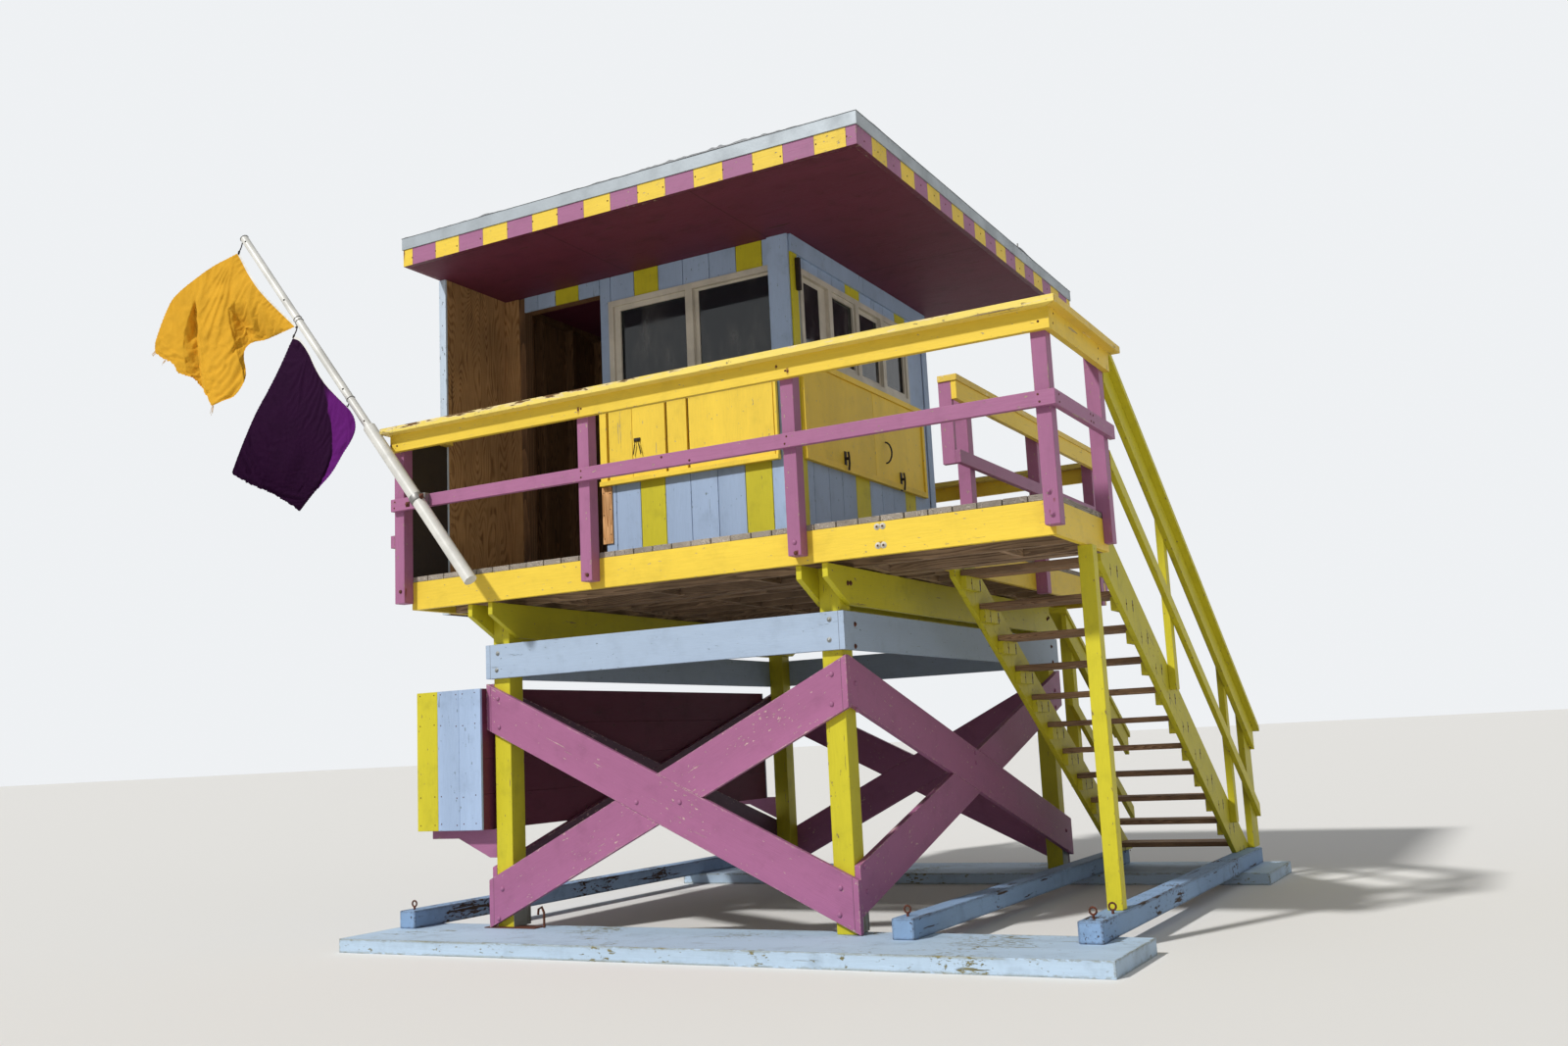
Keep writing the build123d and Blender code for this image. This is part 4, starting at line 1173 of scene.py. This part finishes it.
def build_base_iron():
    """A steel foot plate, a hook and eye bolts on the timbers across the ground."""
    mesh = new_mesh()
    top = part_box("sleepers")[1].z
    add_box(mesh, (-0.760, -2.020, top), (-0.330, -1.900, top + 0.006))
    hook = (-0.300, 0.0), (-0.300, 0.10), (-0.318, 0.135), (-0.345, 0.120), (-0.350, 0.085)
    add_rod(mesh, [(x, -1.955, top + up) for x, up in hook], 0.008)
    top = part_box("skids")[1].z
    turns = [2 * pi * k / 10 for k in range(11)]
    for x, y in ((-1.350, -2.060), (2.390, -2.040), (3.470, -2.020), (3.520, -1.820)):
        add_rod(mesh, [(x, y, top - 0.01), (x, y, top + 0.022)], 0.008)
        add_rod(mesh, [(x + 0.020 * sin(t), y, top + 0.040 - 0.020 * cos(t)) for t in turns], 0.006)
    piece("base_iron", mesh, ["rusty"], "strap_steel", 0.001)


def build_clamp_bolts():
    """Bolts with square plates through the ears of the strap that holds the flagpole."""
    mesh = new_mesh()
    low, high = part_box("pole_clamp")
    middle = (low + high) / 2
    y = low.y + 0.026
    for x, z in ((middle.x + 0.062, middle.z + 0.012), (middle.x - 0.066, middle.z - 0.030)):
        add_box(mesh, (x - 0.016, y, z - 0.018), (x + 0.016, y + 0.006, z + 0.018))
        add_hex(mesh, (x, y, z), to_front, 0.011, 0.012)
    piece("clamp_bolts", mesh, ["rusty"], "strap_steel", 0)


def on_fronts(node, spots):
    """Points on a node's front and back faces, each with the way that its face looks."""
    low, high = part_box(node)
    for x, z in spots:
        yield (x, low.y, z), to_front
        yield (x, high.y, z), to_back


def on_sides(node, spots):
    """Points on a node's right and left faces, each with the way that its face looks."""
    low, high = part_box(node)
    for y, z in spots:
        yield (high.x, y, z), to_right
        yield (low.x, y, z), to_left


def add_frame_bolts(grey, rusty, painted):
    for spot in on_fronts("cross_bands", ((-0.609, 1.937), (-0.620, 1.822), (1.976, 1.952), (1.969, 1.828))):
        add_hex(grey, *spot, *frame_bolt)
    for spot in on_sides("side_bands", ((-1.861, 1.922), (-1.872, 1.786), (1.960, 1.930), (1.965, 1.800))):
        add_hex(rusty, *spot, *frame_bolt)
    for spot in on_fronts("falling_braces", (
        (-0.615, 1.626), (-0.607, 1.431), (1.970, 1.621), (1.961, 1.442), (0.516, 0.896), (0.847, 0.888),
        (-0.602, 0.348), (-0.635, 0.152), (1.955, 0.364), (1.940, 0.209),
    )):
        add_dome(painted, *spot, *painted_bolt)
    for spot in on_sides("falling_braces", (
        (0.010, 1.091), (0.016, 1.021), (-1.921, 0.477), (-1.900, 0.330), (1.972, 0.399), (1.980, 0.231),
        (-1.905, 1.560), (-1.900, 1.400), (1.965, 1.560), (1.950, 1.420),
    )):
        add_dome(painted, *spot, *painted_bolt)


def post_spans(node):
    """The x spans of the separate posts in a node."""
    edges = sorted({round(vert.co.x, 3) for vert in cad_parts[node].data.vertices})
    return list(zip(edges[::2], edges[1::2]))


def add_rail_bolts(rusty, painted):
    """Bolts in the rail posts, nails in the mid rails and screws in the upper rails."""
    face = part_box("front_rail_posts")[0].y
    posts = post_spans("front_rail_posts")
    for span, z in zip(posts, (2.404, 2.359, 2.335)):
        add_dome(rusty, (sum(span) / 2 + 0.008, face, z), to_front, 0.013, 0.010)
    for x, z in ((-0.006, 2.500), (0.004, 2.374)):
        add_hex(painted, (sum(posts[3]) / 2 + x, face, z), to_front, 0.010, 0.012)
    add_dome(painted, (sum(posts[2]) / 2 + 0.004, face, 2.400), to_front, 0.015, 0.010)
    mid_low, mid_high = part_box("cross_mid_rails")
    upper_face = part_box("cross_upper_rails")[0].y
    for x0, x1 in posts:
        for z in (mid_low.z + 0.024, mid_high.z - 0.022):
            add_dome(rusty, (x0 + 0.030 + 0.02 * draws.random(), mid_low.y, z), to_front, *nail)
        add_dome(rusty, (x1 - 0.025, upper_face, 3.430 + 0.04 * draws.random()), to_front, *screw)
    for x, y, z in (
        (1.028, mid_low.y, 3.040), (1.235, mid_low.y, 2.990), (0.391, upper_face, 3.449),
        (1.882, upper_face, 3.478), (1.958, upper_face, 3.437), (-1.260, upper_face, 3.448),
    ):
        add_dome(rusty, (x, y, z), to_front, 0.008, 0.004)
    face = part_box("side_mid_rails")[1].x
    for y in (-2.285, -1.690, -1.640):
        for z in (mid_low.z + 0.022, mid_high.z - 0.024):
            add_dome(rusty, (face, y, z), to_right, *nail)
    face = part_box("side_upper_rails")[1].x
    for y, z in ((-2.290, 3.44), (-2.270, 3.50), (-1.420, 3.43), (-1.400, 3.50)):
        add_dome(rusty, (face, y, z), to_right, *nail)


def build_bolts():
    """Bolts through the frame: galvanised on the bands, painted over on the braces, rusty elsewhere."""
    rusty, painted, grey, pale = (new_mesh() for i in range(4))
    add_frame_bolts(grey, rusty, painted)
    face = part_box("front_fascia")[0].y
    for x in (2.429, 2.465):
        for z in (2.332, 2.444):
            add_hex(pale, (x, face, z), to_front, 0.011, 0.006, 1.9)
            add_dome(rusty, (x, face - 0.004, z), to_front, 0.007, 0.006)
    add_rail_bolts(rusty, painted)

    low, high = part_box("stringers")
    for k in range(11):
        z = bolt_top - k * riser
        for y in (first_bolt + k * going, first_bolt + k * going + bolt_gap):
            add_dome(rusty, (high.x, y, z), to_right, *screw)
            add_dome(rusty, (low.x, y, z), to_left, *screw)
            add_dome(rusty, (low.x + 2 * plank + 0.001, y, z), to_right, *screw)
    low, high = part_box("roof_fascia")
    for i in range(17):
        x = low.x + (i + 0.3 + 0.2 * draws.random()) * checker_pitch
        y = low.y + (i + 0.4 + 0.2 * draws.random()) * checker_pitch
        z = (low.z + high.z) / 2 + 0.03 * draws.random() - 0.015
        if x < high.x - 0.02:
            add_dome(rusty, (x, low.y, z), to_front, 0.0055, 0.003)
        add_dome(rusty, (high.x, y, z), to_right, 0.0055, 0.003)
    low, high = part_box("girders")
    for x, way in ((low.x, to_left), (high.x, to_right)):
        for y in (-1.93, -1.89, 1.90, 1.94):
            add_hex(rusty, (x, y, 2.16 + 0.02 * draws.random()), way, *frame_bolt)
    piece("band_bolts", grey, ["galvanised"], "strap_steel", 0)
    piece("fascia_washers", pale, ["frame_white"], "strap_steel", 0)
    piece("brace_bolts", painted, ["purple_z"], "purple_paint", 0)
    piece("rusty_bolts", rusty, ["rusty"], "strap_steel", 0)


build_blocking()
build_door_strip()
build_nails()
build_base_iron()
build_clamp_bolts()
build_bolts()


# flags, blown inland and hung from the leaning pole; their points are metres up the pole and off it

pole_foot = Vector((deck_left + 0.666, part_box("flags")[0].y + 0.003, deck_top - 0.106))
pole_up = Vector((-2.232, 0.0, 2.899)).normalized()
pole_off = Vector((-pole_up.z, 0.0, pole_up.x))
fold_way = Vector((0.727, -0.632, -0.269))
across = 84
down = 96
tape_share = 1.6 / down


def beside_pole(up, off, depth=0.0):
    return pole_foot + pole_up * up + pole_off * off + fold_way * depth


def curve_point(points, share):
    """A point on the smooth curve through a few points, at a share of its length."""
    places = [Vector(p) for p in points]
    steps = [(b - a).length for a, b in zip(places, places[1:])]
    run = share * sum(steps)
    i = 0
    while i < len(steps) - 1 and run > steps[i]:
        run -= steps[i]
        i += 1
    t = min(run / steps[i], 1.0)
    p1, p2 = places[i], places[i + 1]
    p0 = places[i - 1] if i else p1 * 2 - p2
    p3 = places[i + 2] if i + 2 < len(places) else p2 * 2 - p1
    bend = (p0 * 2 - p1 * 5 + p2 * 4 - p3) * t * t + (p1 * 3 - p0 - p2 * 3 + p3) * t ** 3
    return (p1 * 2 + (p2 - p0) * t + bend) * 0.5


def patch_point(edges, u, v):
    """A point inside four edge curves: u runs down the hoist, v from hoist to fly."""
    hoist, fly, top, bottom = edges
    across = curve_point(hoist, u) * (1 - v) + curve_point(fly, u) * v
    along = curve_point(top, v) * (1 - u) + curve_point(bottom, v) * u
    corners = (
        Vector(hoist[0]) * (1 - u) * (1 - v) + Vector(hoist[-1]) * u * (1 - v)
        + Vector(fly[0]) * (1 - u) * v + Vector(fly[-1]) * u * v
    )
    return across + along - corners


def line_distance(points, spot):
    """Signed distance from a polyline, positive towards the fly, and the share of its length passed."""
    best = (9.0, 0.0)
    passed = 0.0
    total = sum((Vector(b) - Vector(a)).length for a, b in zip(points, points[1:]))
    for a, b in zip(points, points[1:]):
        start = Vector(a)
        run = Vector(b) - start
        t = max(0.0, min(1.0, (spot - start).dot(run) / run.length_squared))
        gap = spot - (start + run * t)
        side = 1.0 if run.x * gap.y - run.y * gap.x < 0 else -1.0
        if gap.length < abs(best[0]):
            best = (side * gap.length, (passed + t * run.length) / total)
        passed += run.length
    return best


def ease(value, low, high):
    t = max(0.0, min(1.0, (value - low) / (high - low)))
    return t * t * (3 - 2 * t)


def hoist_gathers(u, v, count):
    return 0.007 * sin(2 * pi * count * u + 5 * sin(9 * u)) * exp(-v / 0.07) * ease(v, 0.005, 0.03)


yellow_edges = (
    ((3.611, 0.109), (3.533, 0.113), (3.386, 0.128), (3.223, 0.130), (3.053, 0.112), (2.883, 0.083),
     (2.656, 0.041)),
    ((3.710, 1.252), (3.570, 1.210), (3.474, 1.165), (3.349, 1.157), (3.207, 1.079), (3.074, 1.051),
     (2.845, 1.046)),
    ((3.611, 0.109), (3.744, 0.353), (3.829, 0.569), (3.891, 0.778), (3.888, 0.923), (3.785, 1.170),
     (3.710, 1.252)),
    ((2.656, 0.041), (2.818, 0.315), (2.911, 0.429), (2.936, 0.511), (2.898, 0.569), (2.776, 0.631),
     (2.729, 0.710), (2.727, 0.832), (2.792, 0.944), (2.845, 1.046)),
)
yellow_crease = ((3.745, 0.641), (3.618, 0.728), (3.483, 0.816), (3.200, 0.978), (3.033, 1.054))
yellow_crest = (
    (2.667, 0.035), (2.957, 0.158), (3.192, 0.273), (3.344, 0.375), (3.363, 0.463), (3.249, 0.526),
    (3.049, 0.593), (2.879, 0.644), (2.712, 0.715),
)


def yellow_folds(spot, u, v):
    """A deep pocket left of one crease, and cloth that falls away right of one crest."""
    side, passed = line_distance(yellow_crease, spot)
    pocket = 0.150 * ease(passed, 0.0, 0.45) + 0.004
    deep = 0.120 * ease(passed, 0.0, 0.35)
    if side > 0:
        depth = -deep * max(0.0, 1 - side / pocket)
    else:
        depth = -deep + (deep + 0.015) * ease(-side, 0.0, 0.045) + 0.035 * ease(-side, 0.03, 0.30)
        depth *= ease(passed, 0.0, 0.12)
    side, passed = line_distance(yellow_crest, spot)
    if side < 0:
        depth -= 0.95 * min(-side, 0.20) * ease(v, 0.0, 0.25) * ease(-side, 0.0, 0.03)
    turn = atan2(spot.y - 0.109, 3.65 - spot.x)
    depth += 0.007 * sin(30 * turn + 3 * sin(5 * turn)) * ease(v, 0.05, 0.25) * (1 - 0.8 * ease(v, 0.5, 0.9))
    depth += 0.016 * noise.noise(Vector((spot.x * 5, spot.y * 5, 1.7))) * ease(v, 0.1, 0.4)
    depth += 0.007 * noise.noise(Vector((spot.x * 16, spot.y * 9, 3.1))) * ease(v, 0.1, 0.4)
    return depth + hoist_gathers(u, v, 15)


purple_edges = (
    ((2.617, 0.109), (2.538, 0.074), (2.406, 0.073), (2.259, 0.097), (2.118, 0.105), (1.975, 0.091),
     (1.781, 0.062)),
    ((2.273, 1.189), (2.064, 1.113), (1.918, 1.040), (1.768, 0.973), (1.610, 0.916), (1.486, 0.872)),
    ((2.617, 0.109), (2.595, 0.184), (2.540, 0.354), (2.493, 0.532), (2.444, 0.751), (2.363, 0.982),
     (2.273, 1.189)),
    ((1.781, 0.062), (1.686, 0.064), (1.612, 0.100), (1.572, 0.170), (1.538, 0.304), (1.497, 0.481),
     (1.497, 0.702), (1.486, 0.872)),
)
purple_fold = (
    (2.100, 0.119), (1.975, 0.170), (1.888, 0.206), (1.759, 0.261), (1.608, 0.372), (1.552, 0.476),
    (1.510, 0.594),
)


def purple_folds(spot, u, v):
    """One broad leaf that leans over, and a strip on the right that turns up to the light."""
    depth = 0.29 * v * (1 - u) - 0.24 * v * u
    side, passed = line_distance(purple_fold, spot)
    if side < 0:
        depth += 1.1 * min(-side, 0.16) * ease(passed, 0.0, 0.2)
    depth += 0.012 * noise.noise(Vector((spot.x * 4, spot.y * 4, 6.3))) * ease(v, 0.1, 0.4)
    return depth + hoist_gathers(u, v, 9)


def purple_sunlit_strip(spot):
    """The share of painted sunlight on the strip right of the fold, which turns up to the light."""
    side, passed = line_distance(purple_fold, spot)
    return ease(-side, -0.006, 0.012) * ease(passed, 0.0, 0.2) if side < 0.01 else 0.0


def settle_cloth(obj):
    """A short simulation: the hoist is held, the rest may buckle into small creases."""
    held = obj.vertex_groups.new(name="held")
    for j in range(down + 1):
        for i in range(across + 1):
            outer = i in (0, across) or j == down
            weight = 1.0 if j < 2 else 0.5 if outer else 0.14
            held.add([j * (across + 1) + i], weight, "REPLACE")
    cloth = obj.modifiers.new("cloth", "CLOTH")
    for setting, value in (
        ("quality", 6), ("mass", 0.15), ("tension_stiffness", 15.0), ("compression_stiffness", 15.0),
        ("bending_stiffness", 0.02), ("shrink_min", -0.035), ("vertex_group_mass", "held"),
    ):
        setattr(cloth.settings, setting, value)
    cloth.settings.effector_weights.gravity = 0.3
    scene = bpy.context.scene
    for step in range(1, 25):
        scene.frame_set(step)
    settled = bpy.data.meshes.new_from_object(obj.evaluated_get(bpy.context.evaluated_depsgraph_get()))
    obj.modifiers.remove(cloth)
    obj.data = settled
    obj.vertex_groups.clear()
    scene.frame_set(1)


def build_flag(name, edges, folds, cloth, sunlit_share=None):
    """A folded cloth inside its four edges, with a white tape along the hoist and a ragged fly."""
    mesh = new_mesh()
    layer = mesh.verts.layers.float["tone"]
    rows = []
    for j in range(down + 1):
        v = j / down if j > 1 else j * tape_share
        row = []
        for i in range(across + 1):
            u = i / across
            spot = patch_point(edges, u, v)
            ragged = ease(v, 0.97, 1.0) * 0.012 * noise.noise(Vector((u * 40, 0.3, 2.0)))
            vert = mesh.verts.new(beside_pole(spot.x, spot.y + ragged, folds(spot, u, v)))
            # the tone carries the share of painted sunlight
            vert[layer] = sunlit_share(spot) if sunlit_share else 0.0
            row.append(vert)
        rows.append(row)
    add_skin(mesh, rows[:2], 1, closed=False)
    add_skin(mesh, rows[1:], 0, closed=False)
    obj = piece(name, mesh, [cloth, "tape"], "flag_cloth", 0)
    settle_cloth(obj)
    return obj


yellow_flag = build_flag("yellow_flag", yellow_edges, yellow_folds, "yellow_cloth")
purple_flag = build_flag("purple_flag", purple_edges, purple_folds, "purple_cloth", purple_sunlit_strip)
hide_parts("flags")


def build_threads():
    """Loose threads at the yellow flag's torn corners."""
    mesh = new_mesh()
    for up, off, run, reach, count in (
        (3.700, 1.245, 0.03, 0.055, 7), (3.560, 1.208, 0.01, 0.050, 4), (2.850, 1.045, -0.03, 0.055, 5),
    ):
        for k in range(count):
            start = beside_pole(up - 0.02 + 0.04 * draws.random(), off - 0.006)
            sag = Vector((0, 0, -0.012 - 0.01 * draws.random()))
            way = pole_up * run * (0.4 + draws.random()) + pole_off * reach * (0.3 + 0.7 * draws.random())
            add_rod(mesh, [start, start + way * 0.5 + sag * 0.4, start + way + sag], 0.0012, 5)
    return piece("yellow_threads", mesh, ["yellow_cloth"], "flag_cloth", 0)


def build_flag_snaps():
    """Snap hooks and short ties between the pole and the flags' corners, and screws in the pole."""
    mesh = new_mesh()
    turns = [2 * pi * k / 12 for k in range(13)]
    for corner, hold in (
        (yellow_edges[0][0], 3.655), (yellow_edges[0][-1], 2.690), (purple_edges[0][0], 2.660),
        (purple_edges[0][-1], 1.800),
    ):
        tied = beside_pole(*corner)
        ring = beside_pole(hold - 0.01, 0.034)
        add_rod(mesh, [ring, ring.lerp(tied, 0.5) + Vector((0, 0.006, 0.004)), tied], 0.0045)
        add_rod(mesh, [tied + Vector((0.004, 0, 0.012)), tied - Vector((0.004, 0, 0.014))], 0.008)
        add_rod(mesh, [
            beside_pole(hold, 0.032 * cos(turn)) + Vector((0, 0.032 * sin(turn), 0)) for turn in turns
        ], 0.0025, 6)
    for up, height in ((3.60, 0.005), (2.90, 0.006), (1.90, 0.006), (1.56, 0.005)):
        add_dome(mesh, beside_pole(up, 0.0) + Vector((0.012, -0.0275, 0.0)), (0.2, -1, 0), 0.007, height)
    piece("flag_snaps", mesh, ["dark_iron"], "strap_steel", 0)


build_threads()
build_flag_snaps()


# loose roof felt over the slab, wrinkled where it has lifted

def build_felt():
    low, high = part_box("drip_edge")
    lap = 0.004
    columns = 260
    rows = 300
    mesh = new_mesh()
    grid = []
    for j in range(rows + 1):
        row = []
        for i in range(columns + 1):
            u = i / columns
            v = j / rows
            x = low.x - lap + (high.x - low.x + 2 * lap) * u
            y = low.y - lap + (high.y - low.y + 2 * lap) * v
            rim = min(i, columns - i, j, rows - j)
            seam = 0.004 * ((y - low.y) % 0.9) / 0.9
            wave = noise.noise(Vector((x * 3.1, y * 2.3, 0.5)))
            wave += 0.5 * noise.noise(Vector((x * 9, y * 6, 4.0)))
            fine = noise.noise(Vector((x * 26, y * 22, 8.0)))
            crest = exp(-((x - 1.35) / 0.55) ** 2 - ((y - low.y) / 0.20) ** 2)
            lift = 0.003 + seam + 0.026 * max(0.0, wave) + 0.005 * abs(fine) + crest * (0.016 + 0.012 * fine)
            drop = 0.85 * lift + 0.004 if rim == 0 else 0.0
            row.append(mesh.verts.new((x, y, high.z + lift - drop)))
        grid.append(row)
    add_skin(mesh, grid, closed=False)
    piece("felt_sheet", mesh, ["felt"], "roof_felt", 0)


build_felt()


# floor, light and camera

def add_background(tree, colour, strength):
    made = tree.nodes.new("ShaderNodeBackground")
    made.inputs["Color"].default_value = colour
    made.inputs["Strength"].default_value = strength
    return made.outputs[0]


def build_world():
    """An even sky light, and a paler backdrop where the camera looks or a ray is mirrored."""
    world = bpy.data.worlds.new("studio")
    bpy.context.scene.world = world
    world.use_nodes = True
    tree = world.node_tree
    tree.nodes.clear()
    paths = tree.nodes.new("ShaderNodeLightPath")
    seen = paths.outputs["Is Camera Ray"]
    for name in ("Is Glossy Ray", "Is Transmission Ray"):
        both = tree.nodes.new("ShaderNodeMath")
        both.operation = "MAXIMUM"
        tree.links.new(seen, both.inputs[0])
        tree.links.new(paths.outputs[name], both.inputs[1])
        seen = both.outputs[0]
    mix = tree.nodes.new("ShaderNodeMixShader")
    light = add_background(tree, (0.93, 0.96, 1.0, 1.0), 0.30)
    backdrop = add_background(tree, (0.86, 0.88, 0.90, 1.0), 1.0)
    for source, socket in zip((seen, light, backdrop), mix.inputs):
        tree.links.new(source, socket)
    output = tree.nodes.new("ShaderNodeOutputWorld")
    tree.links.new(mix.outputs[0], output.inputs["Surface"])


def build_stage():
    mesh = bmesh.new()
    bmesh.ops.create_grid(mesh, x_segments=1, y_segments=1, size=1500.0)
    floor = mesh_object("floor", mesh, ["floor"])
    for name, towards, strength, angle in (
        ("key", (0.42, 1.0, -0.98), 3.0, 4), ("fill", (-0.8, 0.45, -0.35), 0.15, 60),
    ):
        lamp = bpy.data.lights.new(name, "SUN")
        lamp.energy = strength
        lamp.angle = radians(angle)
        obj = add_object(name, lamp)
        obj.rotation_mode = "QUATERNION"
        obj.rotation_quaternion = Vector(towards).to_track_quat("-Z", "Y")


def build_camera():
    """The photo's camera."""
    right = Vector((0.87518, 0.48131, -0.04898))
    down = Vector((-0.11831, 0.11478, -0.98632))
    forward = Vector((-0.46910, 0.86900, 0.15740))
    camera = bpy.data.cameras.new("camera")
    camera.sensor_width = 36.0
    camera.lens = 32.16
    camera.clip_end = 4000.0
    obj = add_object("camera", camera)
    turn = Matrix((right, -down, -forward)).transposed().to_4x4()
    obj.matrix_world = Matrix.Translation((5.7974, -9.6095, 1.2031)) @ turn
    bpy.context.scene.camera = obj


build_world()
build_stage()
build_camera()
bpy.context.scene.view_settings.view_transform = "Standard"
